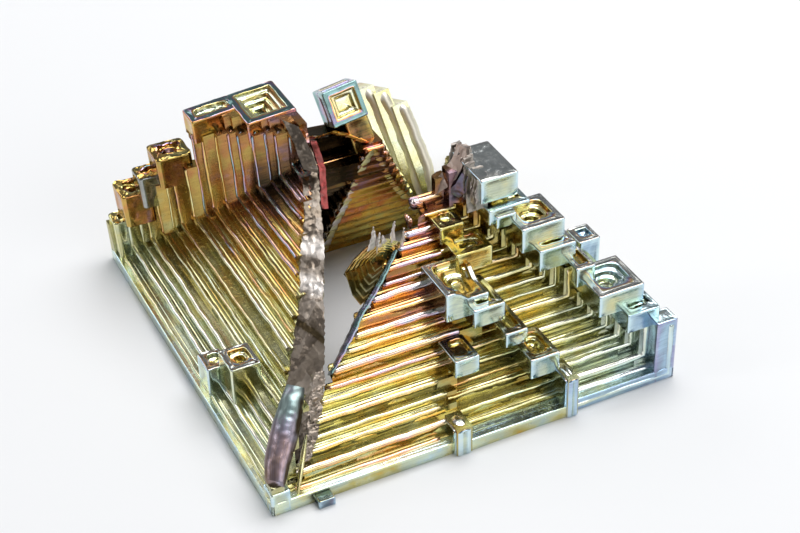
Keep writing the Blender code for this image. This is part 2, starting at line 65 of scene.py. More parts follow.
# The solid's own driving dimensions, in millimetres; pairs are (height, place along the base edge or fin's top)
SIDE_X = 40.0
SIDE_Y = 42.0
PITCH = 0.85
UNEVENNESS = 0.2
RIGHT_PHASE = 0.5
LEFT_PHASE = 2.0
RIM_HEIGHT = 1.25
MIDDLE_SETBACK = 0.7
KNOB_REACH = 1.0
NEAR_RIDGE = ((0, 17.4), (3, 18.6), (5, 19.8), (6.9, 23.8))
NEAR_RIDGE_TOP = 6.9
FAR_RIDGE = ((0, 29.5), (7, 24.3), (10, 22.4), (13.2, 21.8), (16, 21.8))
RIGHT_FIN = ((0, 6.6), (1.2, 6.7), (1.3, 7.3), (2.3, 7.5), (2.4, 8.0), (6.2, 8.2), (6.3, 10.8), (7.5, 11.2))
RIGHT_FIN += ((7.6, 12.4), (8.6, 12.5), (8.7, 13.4), (11.8, 13.7), (11.9, 15.6), (12.8, 17.6), (14, 19.2), (16, 17.3))
LEFT_FIN = ((0, 4.8), (1.0, 5.0), (1.1, 8.4), (2.7, 8.6), (2.8, 10.6), (4.2, 10.8), (4.3, 13.2), (6.8, 13.5))
LEFT_FIN += ((6.9, 17.2), (14, 18.4), (16, 17.6))
LEFT_FIN_END = 15.8
REAR_TOP = 13.0
REAR_RIGHT_TOP = 10.5
REAR_NOTCH = 1.8
REAR_END = 30.5
REAR_END_LEAN = 0.5
TORN_FROM = 13.2
TORN_TOP = 15.6
LEFT_LEAN = 0.06
TOP_SLAB_RISE = 0.1

# Where the break ends each sheet: (height, place along the base edge)
RIGHT_BREAK = ((0, 1.6), (1.5, 3.0), (2.9, 5.1), (4.25, 6.0), (5.4, 7.3), (6.8, 9.1), (7.7, 10.6), (8.4, 11.6))
RIGHT_BREAK += ((9.4, 13.0), (10.2, 14.3), (11.1, 15.9), (11.8, 16.8), (12.5, 17.9), (14, 20.0), (16, 21.5))
LEFT_BREAK = ((0, 0.9), (1.0, 2.3), (3.0, 5.4), (5.2, 8.3), (7.3, 11.3), (9.7, 14.7), (11.5, 18.7), (13.2, 21.2))
LEFT_BREAK += ((15.4, 26.5), (16.5, 30.0))

CORNER = np.array([cad_high.x / MM - SIDE_X, cad_low.y / MM + KNOB_REACH, 0.0])
BOX_LOW = np.array(cad_low) / MM - CORNER
BOX_HIGH = np.array(cad_high) / MM - CORNER

# Film thicknesses by the colour that they show
STEEL, LILAC, SKY, CYAN, MINT = 0.0, 0.54, 0.61, 0.69, 0.77
PALE_GOLD, OLIVE, GOLD, BRONZE, COPPER, INDIGO, TEAL = 0.81, 0.85, 0.88, 0.90, 0.925, 0.98, 1.0


def place(points):
    """Crystal millimetres to the frame's metres: the front corner is added, and the sum scaled."""
    return (np.asarray(points, float) + CORNER) * MM


def vectors(*parts):
    """Vectors from their coordinates, each a number or an array, spread to one shape."""
    return np.stack(np.broadcast_arrays(*parts), -1)


def at(height, pairs):
    """The value that (height, value) pairs give, on straight lines between them."""
    return np.interp(height, *zip(*pairs))


def steps(top, phase):
    """(height, rise) of each growth step: equal pitches, each moved by a small sine of its own number."""
    count = np.arange(1 + int(top / PITCH))
    heights = PITCH * (count + UNEVENNESS * (np.sin(2.1 * count + phase) - np.sin(phase)))
    return list(zip(heights, np.diff(heights, append=heights[-1] + PITCH)))


def smooth(x):
    """0 below 0, 1 above 1, and 3x^2 - 2x^3 between them."""
    x = np.clip(x, 0, 1)
    return x * x * (3 - 2 * x)


def bell(x, middle, width):
    """A bell curve of height 1: e to the minus square of the distance from its middle over its width."""
    return np.exp(-(((x - middle) / width) ** 2))


def fade(distance, reach):
    """1 at a distance of 0 and less, falling by e with each reach."""
    return np.exp(-np.maximum(distance, 0) / reach)


def circle(count):
    """Angles evenly spaced round a full turn."""
    return np.linspace(0, 2 * np.pi, count, endpoint=False)


def running(points):
    """The length along a line of points up to each of them."""
    return np.concatenate([[0], np.cumsum(np.linalg.norm(np.diff(points, axis=0), axis=1))])


def along_line(points, count):
    """Points spaced evenly along the straight lines through (x, y, z) points, by their running length."""
    points = np.array(points, float)
    length = running(points)
    wanted = np.linspace(0, length[-1], count)
    return np.stack([np.interp(wanted, length, points[:, axis]) for axis in range(3)], -1)


def ripple(s, seed, reach=3.0):
    """A slow wave of about unit height along s: three sines with seeded phases and lengths below reach."""
    rng = np.random.default_rng(seed)
    total = np.zeros_like(np.asarray(s, float))
    for weight, share in ((0.55, 1.0), (0.3, 0.43), (0.15, 0.19)):
        total += weight * np.sin(s * 2 * np.pi / (reach * share * rng.uniform(0.8, 1.25)) + rng.uniform(0, 6.283))
    return total


def grain(points, size, seed):
    """Value noise from -1 to 1: seeded random values on a cubic lattice of that size, blended smoothly between."""
    values = np.random.default_rng(seed).uniform(-1, 1, 4096)
    scaled = np.asarray(points, float) / size
    cell = np.floor(scaled).astype(int)
    part = smooth(scaled - cell)
    total = np.zeros(scaled.shape[:-1])
    for corner in np.ndindex(2, 2, 2):
        key = cell + corner
        index = (key[..., 0] * 73856093 ^ key[..., 1] * 19349663 ^ key[..., 2] * 83492791) % 4096
        total += np.prod(np.where(corner, part, 1 - part), axis=-1) * values[index]
    return total


# ---------------------------------------------------------------- oxide film

# Film thickness by place: (x, y, z, film)
FILM_SPOTS = (
    *((0, 0, 0.5, 0.80), (4, 1, 1, 0.83), (9, 2, 2, 0.85), (15, 2, 2, 0.855), (9, 4.5, 4.5, 0.865)),
    *((16, 4.5, 4.5, 0.865), (12, 7, 7, 0.88), (18, 7, 7, 0.885), (14, 9, 9, 0.90), (17, 9.5, 9.5, 0.925)),
    *((21, 9, 9, 0.96), (19, 11, 11, 0.955), (21, 13.5, 13.5, 0.93), (23, 2, 2, 0.84), (26, 3, 3, 0.85)),
    *((23, 5, 5, 0.87), (23, 11, 11, 0.87), (25, 9, 9, 0.855), (29, 6.5, 6.5, 0.84), (32, 4, 4, 0.80)),
    *((36, 1.5, 1.5, 0.74), (33, 2, 2, 0.77), (38.5, 1, 3, 0.71), (36, 3.5, 6, 0.75), (33, 6, 9, 0.83)),
    *((29, 10, 13, 0.855), (27, 12, 16, 0.87), (2, 5, 2, 0.79), (2, 12, 2, 0.78), (2, 20, 2, 0.77)),
    *((2, 30, 2, 0.78), (2, 38, 2, 0.79), (5, 8, 5, 0.82), (5, 16, 5, 0.81), (5, 26, 5, 0.83)),
    *((5, 33, 5, 0.88), (8, 14, 8, 0.84), (8, 22, 8, 0.84), (8, 30, 8, 0.88), (11, 17, 11, 0.87)),
    *((11, 22, 11, 0.86), (11, 28, 11, 0.93), (13, 21, 13, 0.90), (13, 26, 13, 0.95), (15, 26, 15, 0.96)),
    *((9, 32, 12, 0.915), (13, 29, 16, 0.915), (6, 34, 11, 0.92), (3, 38, 7, 0.88), (24, 28, 8, 0.912)),
    *((24, 31, 3, 0.885), (21, 30, 17, 0.93), (26, 32, 1, 0.865), (22, 27, 13, 0.92), (30, 33, 9, 0.86)),
    *((38, 20, 2, 0.84), (33, 30, 7, 0.88), (20, 38, 3, 0.86), (12, 36, 10, 0.90)),
)
FILM_POWER = 3.5


def film_at(points):
    """The film at each point: the mean of the spots' films, each weighted by a power of its nearness."""
    total = weights = 0.0
    for *spot, film in FILM_SPOTS:
        weight = 1 / (0.3 + np.linalg.norm(points - np.array(spot), axis=-1)) ** FILM_POWER
        total = total + weight * film
        weights = weights + weight
    return total / weights


# ---------------------------------------------------------------- meshes

SHARP_ANGLE = 48


def closed_tube(sections):
    """Faces of a tube through rings of points (N rings, M points), its ends closed by fans to the rings' middles."""
    count, around = sections.shape[:2]
    index = np.arange(count * around).reshape(count, around)
    low, high = index[:-1], index[1:]
    quads = np.stack([low, np.roll(low, -1, 1), np.roll(high, -1, 1), high], -1).reshape(-1, 4)
    points = np.concatenate([sections.reshape(-1, 3), sections[:1].mean(1), sections[-1:].mean(1)])
    near = vectors(np.roll(index[0], -1), index[0], count * around)
    far = vectors(index[-1], np.roll(index[-1], -1), count * around + 1)
    return points, quads, np.concatenate([near, far])


def with_ends(values):
    """Values on a tube's rings, made flat, with the two end middles' means added."""
    return np.concatenate([values.reshape(-1), [values[0].mean(), values[-1].mean()]])


def volume(points, quads, triangles):
    """The signed volume inside a closed shell: the sum of its triangles' triple products over six."""
    halves = np.concatenate([quads[:, [0, 1, 2]], quads[:, [0, 2, 3]], triangles])
    a, b, c = points[halves[:, 0]], points[halves[:, 1]], points[halves[:, 2]]
    return np.einsum("ij,ij->i", a, np.cross(b, c)).sum() / 6


def coat(mesh, film, flow, tone):
    """Writes every vertex's film, flow and tone into the mesh."""
    for name, kind, key, values in (
        ("film", "FLOAT", "value", film), ("tone", "FLOAT", "value", tone), ("flow", "FLOAT_VECTOR", "vector", flow)
    ):
        layer = mesh.attributes.new(name, kind, "POINT")
        layer.data.foreach_set(key, values.astype(np.float32).ravel())


def linked(name, data):
    """A new object of that data, linked to the scene."""
    thing = bpy.data.objects.new(name, data)
    bpy.context.scene.collection.objects.link(thing)
    return thing


def hand_in(name, mesh, material):
    """The mesh as an object of its material, riding on the crystal's one body."""
    mesh.materials.append(material)
    thing = linked(name, mesh)
    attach(thing, "root")
    return thing


class Piece:
    """A mesh gathered from closed shells, each turned so that its faces point outwards."""

    def __init__(self, name):
        self.name = name
        self.shells = []
        self.count = 0

    def add(self, sections, film, flow, tone=0.0):
        """Adds one tube of rings (N, M, 3). Its film, its tone and its flow's three parts spread to (N, M)."""
        points, quads, triangles = closed_tube(sections)
        if volume(points, quads, triangles) < 0:
            quads, triangles = quads[:, ::-1], triangles[:, ::-1]
        spread = np.zeros(sections.shape[:2])
        flow = flow if isinstance(flow, tuple) else np.moveaxis(flow, -1, 0)
        film, tone, *flow = (with_ends(part + spread) for part in (film, tone, *flow))
        self.shells.append((points, quads + self.count, triangles + self.count, film, np.stack(flow, -1), tone))
        self.count += len(points)

    def finish(self, material):
        """Puts the arrays into a mesh, smooth but for its sharp edges, and hands the object to the frame."""
        points, quads, triangles, film, flow, tone = (np.concatenate(part) for part in zip(*self.shells))
        points = place(np.clip(points, BOX_LOW, BOX_HIGH))
        mesh = bpy.data.meshes.new(self.name)
        mesh.from_pydata(points.tolist(), [], quads.tolist() + triangles.tolist())
        coat(mesh, film, flow, tone)
        mesh.shade_smooth()
        mesh.set_sharp_from_angle(angle=np.radians(SHARP_ANGLE))
        return hand_in(self.name, mesh, material)


# ---------------------------------------------------------------- materials

# The film's colour by its thickness
FILM_COLOURS = (
    *((0.00, (0.58, 0.61, 0.60)), (0.08, (0.84, 0.79, 0.72)), (0.16, (0.92, 0.86, 0.62))),
    *((0.24, (0.82, 0.66, 0.34)), (0.31, (0.62, 0.42, 0.24)), (0.38, (0.72, 0.48, 0.40))),
    *((0.46, (0.45, 0.30, 0.38)), (0.53, (0.38, 0.40, 0.60)), (0.61, (0.46, 0.66, 0.84))),
    *((0.69, (0.64, 0.83, 0.88)), (0.77, (0.76, 0.86, 0.66)), (0.81, (0.84, 0.83, 0.48))),
    *((0.85, (0.76, 0.70, 0.28)), (0.89, (0.84, 0.58, 0.15)), (0.925, (0.82, 0.38, 0.13))),
    *((0.955, (0.62, 0.36, 0.44)), (0.98, (0.44, 0.40, 0.64)), (1.00, (0.26, 0.46, 0.46))),
)
GRAIN_COLOURS = ((0.0, (0.14, 0.11, 0.085)), (0.6, (0.34, 0.29, 0.24)), (1.0, (0.68, 0.61, 0.55)))
# What the tone mixes towards: painted shade with dark oxide below 0, painted highlight with pale metal above it
PAINTED_SHADE_AND_DARK_OXIDE = (0.075, 0.055, 0.03, 1.0)
PAINTED_HIGHLIGHT_AND_PALE_METAL = (0.97, 0.91, 0.86, 1.0)


def joined(tree, kind, values=None, **settings):
    """A node of that kind. Values go on its sockets by name or number: a socket is linked, anything else is set."""
    node = tree.nodes.new(kind)
    for name, value in settings.items():
        setattr(node, name, value)
    for socket, value in (values or {}).items():
        if isinstance(value, bpy.types.NodeSocket):
            tree.links.new(value, node.inputs[socket])
        else:
            node.inputs[socket].default_value = value
    return node


def reckon(tree, operation, a, b, clamp=False):
    """The socket of a Math node."""
    return joined(tree, "ShaderNodeMath", {0: a, 1: b}, operation=operation, use_clamp=clamp).outputs[0]


def blend(tree, share, one, other):
    """The colour socket of a Mix node."""
    return joined(tree, "ShaderNodeMix", {0: share, 6: one, 7: other}, data_type="RGBA").outputs[2]


def noise(tree, vector, scale, detail, roughness):
    """The value socket of a noise texture."""
    values = {"Vector": vector, "Scale": scale, "Detail": detail, "Roughness": roughness}
    return joined(tree, "ShaderNodeTexNoise", values).outputs[0]


def swing(tree, value, size):
    """A noise's swing about its middle, times the size."""
    return reckon(tree, "MULTIPLY", reckon(tree, "SUBTRACT", value, 0.5), size)


def weighed(tree, a, a_weight, b, b_weight):
    """The sum of two sockets, each times its weight."""
    parts = [reckon(tree, "MULTIPLY", value, weight) for value, weight in ((a, a_weight), (b, b_weight))]
    return reckon(tree, "ADD", *parts)


def toned(tree, colour, tone):
    """The colour, mixed towards dark oxide and painted shade by a negative tone and towards pale metal and painted
    highlight by a positive one.
    """
    for sign, end in ((-1.0, PAINTED_SHADE_AND_DARK_OXIDE), (1.0, PAINTED_HIGHLIGHT_AND_PALE_METAL)):
        colour = blend(tree, reckon(tree, "MULTIPLY", tone, sign, True), colour, end)
    return colour


def ramp(tree, factor, stops, interpolation):
    """The colour socket of a Color Ramp through (position, colour) stops."""
    node = joined(tree, "ShaderNodeValToRGB", {0: factor})
    band = node.color_ramp
    band.interpolation = interpolation
    while len(band.elements) < len(stops):
        band.elements.new(1.0)
    for element, (position, colour) in zip(band.elements, stops):
        element.position = position
        element.color = (*colour, 1.0)
    return node.outputs[0]


def group(name, inputs):
    """A shader node group that puts out a colour, a roughness and a height, with its own tree and its sockets.

    The inputs are named values: a number, a colour, or None for a vector.
    """
    tree = bpy.data.node_groups.new(name, "ShaderNodeTree")
    for label, value in inputs.items():
        kind = "Vector" if value is None else "Color" if isinstance(value, tuple) else "Float"
        socket = tree.interface.new_socket(label, in_out="INPUT", socket_type="NodeSocket" + kind)
        if value is not None:
            socket.default_value = value
    for label, kind in (("Color", "Color"), ("Roughness", "Float"), ("Height", "Float")):
        tree.interface.new_socket(label, in_out="OUTPUT", socket_type="NodeSocket" + kind)
    here = joined(tree, "ShaderNodeTexCoord").outputs["Object"]
    return tree, here, tree.nodes.new("NodeGroupInput").outputs, tree.nodes.new("NodeGroupOutput").inputs


def oxide_film():
    """Node group: the film's colour and its gloss, from its thickness, with blotches and bands along the flow."""
    inputs = {"Film": 0.2, "Flow": None, "Blotches": 0.03, "Bands": 0.03, "Roughness": 0.16, "Tone": 0.0}
    tree, here, given, made = group("Oxide film", {**inputs, "Richness": 1.0})
    blotch = noise(tree, here, 420.0, 3.0, 0.55)
    fine = noise(tree, here, 2600.0, 3.0, 0.6)
    stretch = joined(tree, "ShaderNodeMapping", {"Vector": given["Flow"], "Scale": (0.22, 7.0, 3.1)})
    band = noise(tree, stretch.outputs[0], 1.0, 3.0, 0.6)
    change = reckon(tree, "ADD", swing(tree, blotch, given["Blotches"]), swing(tree, band, given["Bands"]))
    thickness = reckon(tree, "ADD", given["Film"], reckon(tree, "MULTIPLY", change, 4.0))
    colour = ramp(tree, thickness, FILM_COLOURS, "EASE")
    colour = joined(tree, "ShaderNodeGamma", {0: colour, 1: given["Richness"]}).outputs[0]
    colour = toned(tree, colour, reckon(tree, "ADD", given["Tone"], swing(tree, band, 0.5)))
    speckle = reckon(tree, "MULTIPLY", reckon(tree, "SUBTRACT", fine, 0.48, True), 0.45)
    tree.links.new(colour, made["Color"])
    tree.links.new(reckon(tree, "ADD", given["Roughness"], speckle), made["Roughness"])
    tree.links.new(weighed(tree, band, 0.8, fine, 0.25), made["Height"])
    return tree


def crushed_grain():
    """Node group: colour, gloss and height of bare broken metal, from facets of two sizes, toned dark or pale."""
    inputs = {"Scale": 900.0, "Tint": (0.46, 0.38, 0.33, 1.0), "Blend": 0.45, "Tone": 0.0}
    tree, here, given, made = group("Crushed grain", inputs)
    facets = joined(tree, "ShaderNodeTexVoronoi", {"Vector": here, "Scale": given["Scale"], "Randomness": 1.0})
    shade = joined(tree, "ShaderNodeSeparateColor", {0: facets.outputs["Color"]}).outputs[0]
    colour = blend(tree, given["Blend"], ramp(tree, shade, GRAIN_COLOURS, "LINEAR"), given["Tint"])
    roughness = reckon(tree, "ADD", reckon(tree, "MULTIPLY", shade, 0.25), 0.30)
    tree.links.new(toned(tree, colour, given["Tone"]), made["Color"])
    tree.links.new(roughness, made["Roughness"])
    tree.links.new(weighed(tree, shade, 0.6, noise(tree, here, 1700.0, 4.0, 0.65), 0.8), made["Height"])
    return tree


def metal(name, effect, bump, distance, attributes, values):
    """A metallic material: attributes and values go into a node group, which gives the colour, gloss and bump."""
    material = bpy.data.materials.new(name)
    material.use_nodes = True
    tree = material.node_tree
    shader = tree.nodes["Principled BSDF"]
    shader.inputs["Metallic"].default_value = 1.0
    for label, output in attributes:
        values[label] = joined(tree, "ShaderNodeAttribute", attribute_name=label.lower()).outputs[output]
    made = joined(tree, "ShaderNodeGroup", values, node_tree=effect).outputs
    relief = joined(tree, "ShaderNodeBump", {"Strength": bump, "Distance": distance, "Height": made["Height"]})
    tree.links.new(made["Color"], shader.inputs["Base Color"])
    tree.links.new(made["Roughness"], shader.inputs["Roughness"])
    tree.links.new(relief.outputs[0], shader.inputs["Normal"])
    return material


def oxide_metal(name, blotches=0.03, bands=0.03, roughness=0.16, bump=0.25, richness=1.0):
    """Bismuth under its film, with a bump of its fine striations."""
    attributes = (("Film", "Fac"), ("Flow", "Vector"), ("Tone", "Fac"))
    values = {"Blotches": blotches, "Bands": bands, "Roughness": roughness, "Richness": richness}
    return metal(name, FILM_GROUP, bump, 0.00005, attributes, values)


def broken_metal(name, tint, scale=900.0, share=0.45):
    """Bare broken bismuth, grainy and sparkling, with its share of the tint."""
    values = {"Scale": scale, "Tint": (*tint, 1.0), "Blend": share}
    return metal(name, GRAIN_GROUP, 0.5, 0.00015, (("Tone", "Fac"),), values)


FILM_GROUP = oxide_film()
GRAIN_GROUP = crushed_grain()
RIB_METAL = oxide_metal("oxide_ribs", richness=0.9)
STREAKED_METAL = oxide_metal("oxide_streaks", 0.025, 0.085, 0.15, 0.4, 0.95)
SOFT_METAL = oxide_metal("oxide_soft", 0.03, 0.01, 0.36, 0.1)
WALL_METAL = oxide_metal("oxide_wall", 0.04, 0.02, 0.2, 0.2, 1.4)
POST_METAL = oxide_metal("oxide_post", 0.03, 0.02, 0.32, 0.15, 0.55)
CURTAIN_METAL = oxide_metal("oxide_curtain", 0.02, 0.01, 0.5, 0.1)
RIM_METAL = oxide_metal("oxide_rim", 0.10, 0.02, 0.2, 0.2)
BLOCK_METAL = oxide_metal("oxide_blocks", 0.04, 0.02, 0.14, 0.2)
BODY_METAL = oxide_metal("oxide_body", 0.04, 0.0, 0.2, 0.15)
BROKEN_METAL = broken_metal("broken_bismuth", (0.36, 0.30, 0.25))
FLAKE_METAL = broken_metal("flaked_bismuth", (0.66, 0.60, 0.56), 1600.0)
TORN_METAL = broken_metal("torn_bismuth", (0.50, 0.36, 0.31), 1600.0)
RED_METAL = broken_metal("reddened_bismuth", (0.16, 0.018, 0.022), 1600.0, 0.9)


# ---------------------------------------------------------------- the body

BODY_SINK = 0.15
BODY_BEVEL = 0.07
BODY_SHARP = np.radians(30)
BODY_TONE = -0.45

# Parts of the body that are darker or paler than the rest: (low corner, high corner, tone, film)
BODY_PARTS = (
    # Painted shade on the rear wall's set-back left face
    ((11.0, 26.0, 0.6), (22.3, 36.5, 16.5), -1.0, 0.93),
    # Painted paler behind the curtain, as light to match it
    ((25.5, 28.0, 4.0), (37.0, 38.0, 21.0), 0.1, 0.81),
    ((22.0, 12.5, 14.5), (27.0, 17.5, 21.0), -0.7, 0.94),
)


def crystal_body():
    """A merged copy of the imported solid, sunk a little below the finer ribs, with its edges rounded."""
    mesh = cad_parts[NODE].data.copy()
    mesh.name = "crystal_body"
    body = bmesh.new()
    body.from_mesh(mesh)
    bmesh.ops.remove_doubles(body, verts=body.verts, dist=1e-6)
    bmesh.ops.dissolve_limit(body, angle_limit=0.02, verts=body.verts, edges=body.edges)
    body.to_mesh(mesh)
    body.free()
    points = np.empty(len(mesh.vertices) * 3, np.float32)
    mesh.vertices.foreach_get("co", points)
    points = points.reshape(-1, 3) / MM - CORNER
    films = film_at(points)
    tones = np.full(len(points), BODY_TONE)
    for low, high, tone, film in BODY_PARTS:
        inside = ((points > low) & (points < high)).all(1)
        tones[inside] = tone
        films[inside] = film
    coat(mesh, films, points, tones)
    mesh.materials.clear()
    mesh.shade_smooth()
    mesh.set_sharp_from_angle(angle=BODY_SHARP)
    thing = hand_in("crystal_body", mesh, BODY_METAL)
    sink = thing.modifiers.new("sink", "DISPLACE")
    sink.strength = -BODY_SINK * MM
    sink.mid_level = 0.0
    bevel = thing.modifiers.new("rounded_edges", "BEVEL")
    bevel.width = BODY_BEVEL * MM
    bevel.segments = 2
    bevel.limit_method = "ANGLE"
    bevel.angle_limit = BODY_SHARP
    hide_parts(NODE)
    return thing


# ---------------------------------------------------------------- growth ribs

# A lip's tone along its arc: painted shade at its foot and a painted highlight near its top
LIP_HIGHLIGHT_AND_SHADE = ((0, 0.2, 0.42, 0.58, 0.85, 1.0), (-0.5, 0.0, 0.3, 1.0, 0.7, -0.1))
RIB_SPACING = 0.45


def rib_profile(rise, depth, bead, lift, second):
    """A growth step's closed outline as (back, up), its tones, its humps, and where its lip and its tread start.

    The lip is an arc of the bead's radius that overhangs the riser by a quarter of it and stands higher than the
    tread by the lift; the tread behind it is sunk, with two humps on it where finer steps have grown. The tones
    are painted shade on the riser, the tread and the hidden part, and a painted highlight near the lip's top and
    on the humps.
    """
    turn = np.radians(np.linspace(235, 30, 11))
    lip = np.stack([0.75 * bead + bead * np.cos(turn), rise + lift - bead + bead * np.sin(turn)], -1)
    back = np.linspace(min(1.75 * bead, 0.75 * depth), depth + 0.12, 17)
    share = (back - back[0]) / (back[-1] - back[0])
    hump = bell(share, 0.32, 0.12) + 0.6 * bell(share, 0.7, 0.1)
    tread = np.stack([back, rise - 0.1 - 0.04 * np.sin(np.pi * share) + second * hump], -1)
    riser = np.array([(0.34, -0.25), (0.14, -0.08), (0.10, 0.05), (0.09, 0.4 * (rise - bead))])
    hidden = np.array([(depth + 0.3, rise - 0.2), (depth + 0.25, rise - 0.45), (0.5, 0.0)])
    # Painted highlight and shade along the lip, painted shade on the tread with paler humps
    lip_light_and_shade = np.interp(np.linspace(0, 1, 11), *LIP_HIGHLIGHT_AND_SHADE)
    tread_shade_and_highlight = np.minimum(10 * second, 1) * hump - 0.5
    tone = np.concatenate([[-1.1, -1.1, -0.9, -0.7], lip_light_and_shade, tread_shade_and_highlight, [-1, -1, -1]])
    humps = np.concatenate([0 * tone[: len(riser) + len(lip)], hump, [0, 0, 0]])
    return np.concatenate([riser, lip, tread, hidden]), tone, humps, len(riser), len(riser) + len(lip)


def rib(
    height, rise, start, end, top=None, seed=0, start_taper=0.35, end_taper=0.0, setback=0.0, bead=0.2, lift=0.05,
    second=0.0, shift=0.0, lip_shift=0.0, depth=None, pale=0.5, dark=0.5, upright=0.0, shade=0.0, fold=0.0, rods=0.0
):
    """A growth rib: its profile carried along the base edge and, where it meets a fin, mitred upwards to its top.

    Along the run s goes from start to end; a point at up a stops at end - a, where the path turns from along to
    up, so the tread becomes the fin column's inner side. Points are (along, back, up). The film moves by the
    shift, on the lip by its own, on the upright part by another, and by the fold near the turn. The humps grow
    into rods on the upright part. The profile's tones become painted shade, scaled by dark, and painted
    highlight, scaled by pale; the upright part takes more painted shade by the shade, except on its lips and
    rods, and a weaker painted highlight where there are rods.
    """
    outline, tone, humps, lip, tread = rib_profile(rise, depth or rise, bead, lift, second)
    back, up = outline[:, 0], outline[:, 1]
    mitre = up if top is not None else 0 * up
    length = max(end - start, 0.3)
    up = np.maximum(up, 0.02 - height)
    near_ends = [0.1 / length, 0.3 / length, 0.6 / length]
    share = np.unique(np.concatenate([np.linspace(0, 1, max(8, int(length / RIB_SPACING))), near_ends]))
    share = share[share <= 1][:, None]
    rows = vectors(start + share * (end - mitre - start), height + setback + back, height + up)
    flat = len(rows)
    if top is not None:
        reach = np.linspace(0, 1, max(8, int((top - height) / RIB_SPACING)))[1:, None]
        grown = rods * humps * smooth(reach * 6)
        climb = height + up + reach * (top - height - up)
        rows = np.concatenate([rows, vectors(end - up - grown, height + setback + back, climb)])
    travel = running(rows[:, lip])[:, None]
    front = np.zeros(len(back))
    front[lip - 1 : tread + 3] = 1.0
    rows[..., 1] += 0.06 * ripple(travel, seed, 7.0) * front
    rows[..., 2] += 0.03 * ripple(travel, seed + 1, 5.0) * front
    for taper, distance in ((start_taper, travel), (end_taper, travel[-1] - travel)):
        if taper > 0:
            near = np.clip(distance / taper, 0, 1)
            size = 0.25 + 0.75 * np.sqrt(near * (2 - near))
            rows[..., 1] += (1 - size) * (height + setback + 0.55 - rows[..., 1])
            rows[..., 2] += (1 - size) * (height + (rise - 0.5) - rows[..., 2]) * (top is None or distance is travel)
    past = turning = 0 * travel
    if top is not None:
        past = smooth((travel - travel[flat - 1]) / 0.5 + 0.5)
        turning = bell(travel, travel[flat - 1], 0.7)
    # Painted shade and painted highlight from the profile's tones, with a slow wave along the run
    shades = np.where(tone > 0, tone * pale, tone * dark) + 0.1 * ripple(travel, seed + 2, 4.0) * front
    on_rod = (rods > 0) * np.clip(2.2 * humps - 0.4, 0, 1.3)
    # Painted shade on the upright column's faces but not its lips and rods, and a weaker painted highlight there
    shades = shades - shade * past * (1 - np.clip(2 * tone, 0, 1)) * (1 - on_rod)
    shades = np.where(shades > 0, shades * (1 - 0.75 * past * (rods > 0)), shades)
    on_lip = np.zeros(len(back))
    on_lip[lip + 2 : tread] = 1.0
    film = shift + lip_shift * on_lip * (0.6 + 0.4 * ripple(travel, seed + 3, 9.0)) + upright * past + fold * turning
    return rows, film, (travel, running(outline), seed * 1.7), shades


def as_left(rows):
    """Along Y, back along X."""
    return rows[..., [1, 0, 2]]


def as_rear_right(rows):
    """Along Y, back from the far end of X."""
    return vectors(SIDE_X - rows[..., 1], rows[..., 0], rows[..., 2])


def as_rear_left(rows):
    """Along X, back from the far end of Y."""
    return vectors(rows[..., 0], SIDE_Y - rows[..., 1], rows[..., 2])


def leant(points):
    """The lean of what stands above the left sheet: outwards by a share of its height over the sheet."""
    x, y, z = points[..., 0], points[..., 1], points[..., 2]
    share = np.clip((y - 20) / 6, 0, 1) * np.clip((18 - x) / 2, 0, 1)
    rise = np.maximum(0, z - x - 1.5) * share
    lift = np.maximum(0, x - 7) * np.clip((z - 14) / 2, 0, 1) * share
    return points + vectors(-LEFT_LEAN * rise, LEFT_LEAN / 2 * rise, TOP_SLAB_RISE * lift)


def add_rib(piece, made, turn=None):
    """Turns a rib, made along X and back along Y, onto its side, leans it, and gives it the film of its place."""
    rows, shift, flow, tone = made
    rows = leant(turn(rows) if turn else rows)
    piece.add(rows, np.minimum(film_at(rows) + shift, INDIGO), flow, tone)


def rib_looks(rng, number, strong=0.30, weak=0.15, pale=0.75, dark=0.75, fine=0.5, lip_films=(0.0,)):
    """Bead, lift, finer humps, film shifts and tones of the next rib: every other one strong and proud, with a stronger
    painted highlight.
    """
    bold = number % 2 == 0 if rng.uniform() < 0.8 else number % 2 == 1
    return dict(
        bead=(strong if bold else weak) * rng.uniform(0.85, 1.15),
        lift=rng.uniform(0.08, 0.16) if bold else rng.uniform(0.0, 0.04),
        second=0.1 * (rng.uniform() < fine),
        shift=rng.uniform(-0.03, 0.03),
        lip_shift=rng.choice(lip_films),
        # pale and dark scale the rib's painted highlight and painted shade
        pale=(pale if bold else 0.5 * pale) * rng.uniform(0.8, 1.2),
        dark=dark * rng.uniform(0.85, 1.15),
    )


def panel(name, material, seed, top, phase, make, turn=None):
    """A sheet's ribs, one to each growth step: make(rng, number, height, rise) gives a rib, or None for no rib."""
    piece = Piece(name)
    rng = np.random.default_rng(seed)
    for number, (height, rise) in enumerate(steps(top, phase)):
        made = make(rng, number, height, rise)
        if made:
            add_rib(piece, made, turn)
    return piece.finish(material)


def near_rib(rng, number, height, rise):
    """A rib of the right sheet's near panel: straight, from the broken edge to the ridge of blocks."""
    if height < RIM_HEIGHT - 0.5:
        return None
    ridge = at(height, NEAR_RIDGE) if height < NEAR_RIDGE_TOP else at(height, FAR_RIDGE)
    start = at(height, RIGHT_BREAK) + rng.uniform(0.0, 0.15)
    looks = rib_looks(rng, number, 0.35, 0.2, 0.85, 0.95, 0.6, (0.08, 0.09, 0.07, 0.0))
    short = rng.uniform(0.3, 1.8) * (rng.uniform() < 0.4)
    taper = 0.35 if short else 0.0
    return rib(height, rise, start, ridge + 0.3 - short, None, 20 + number, 0.35, taper, **looks)


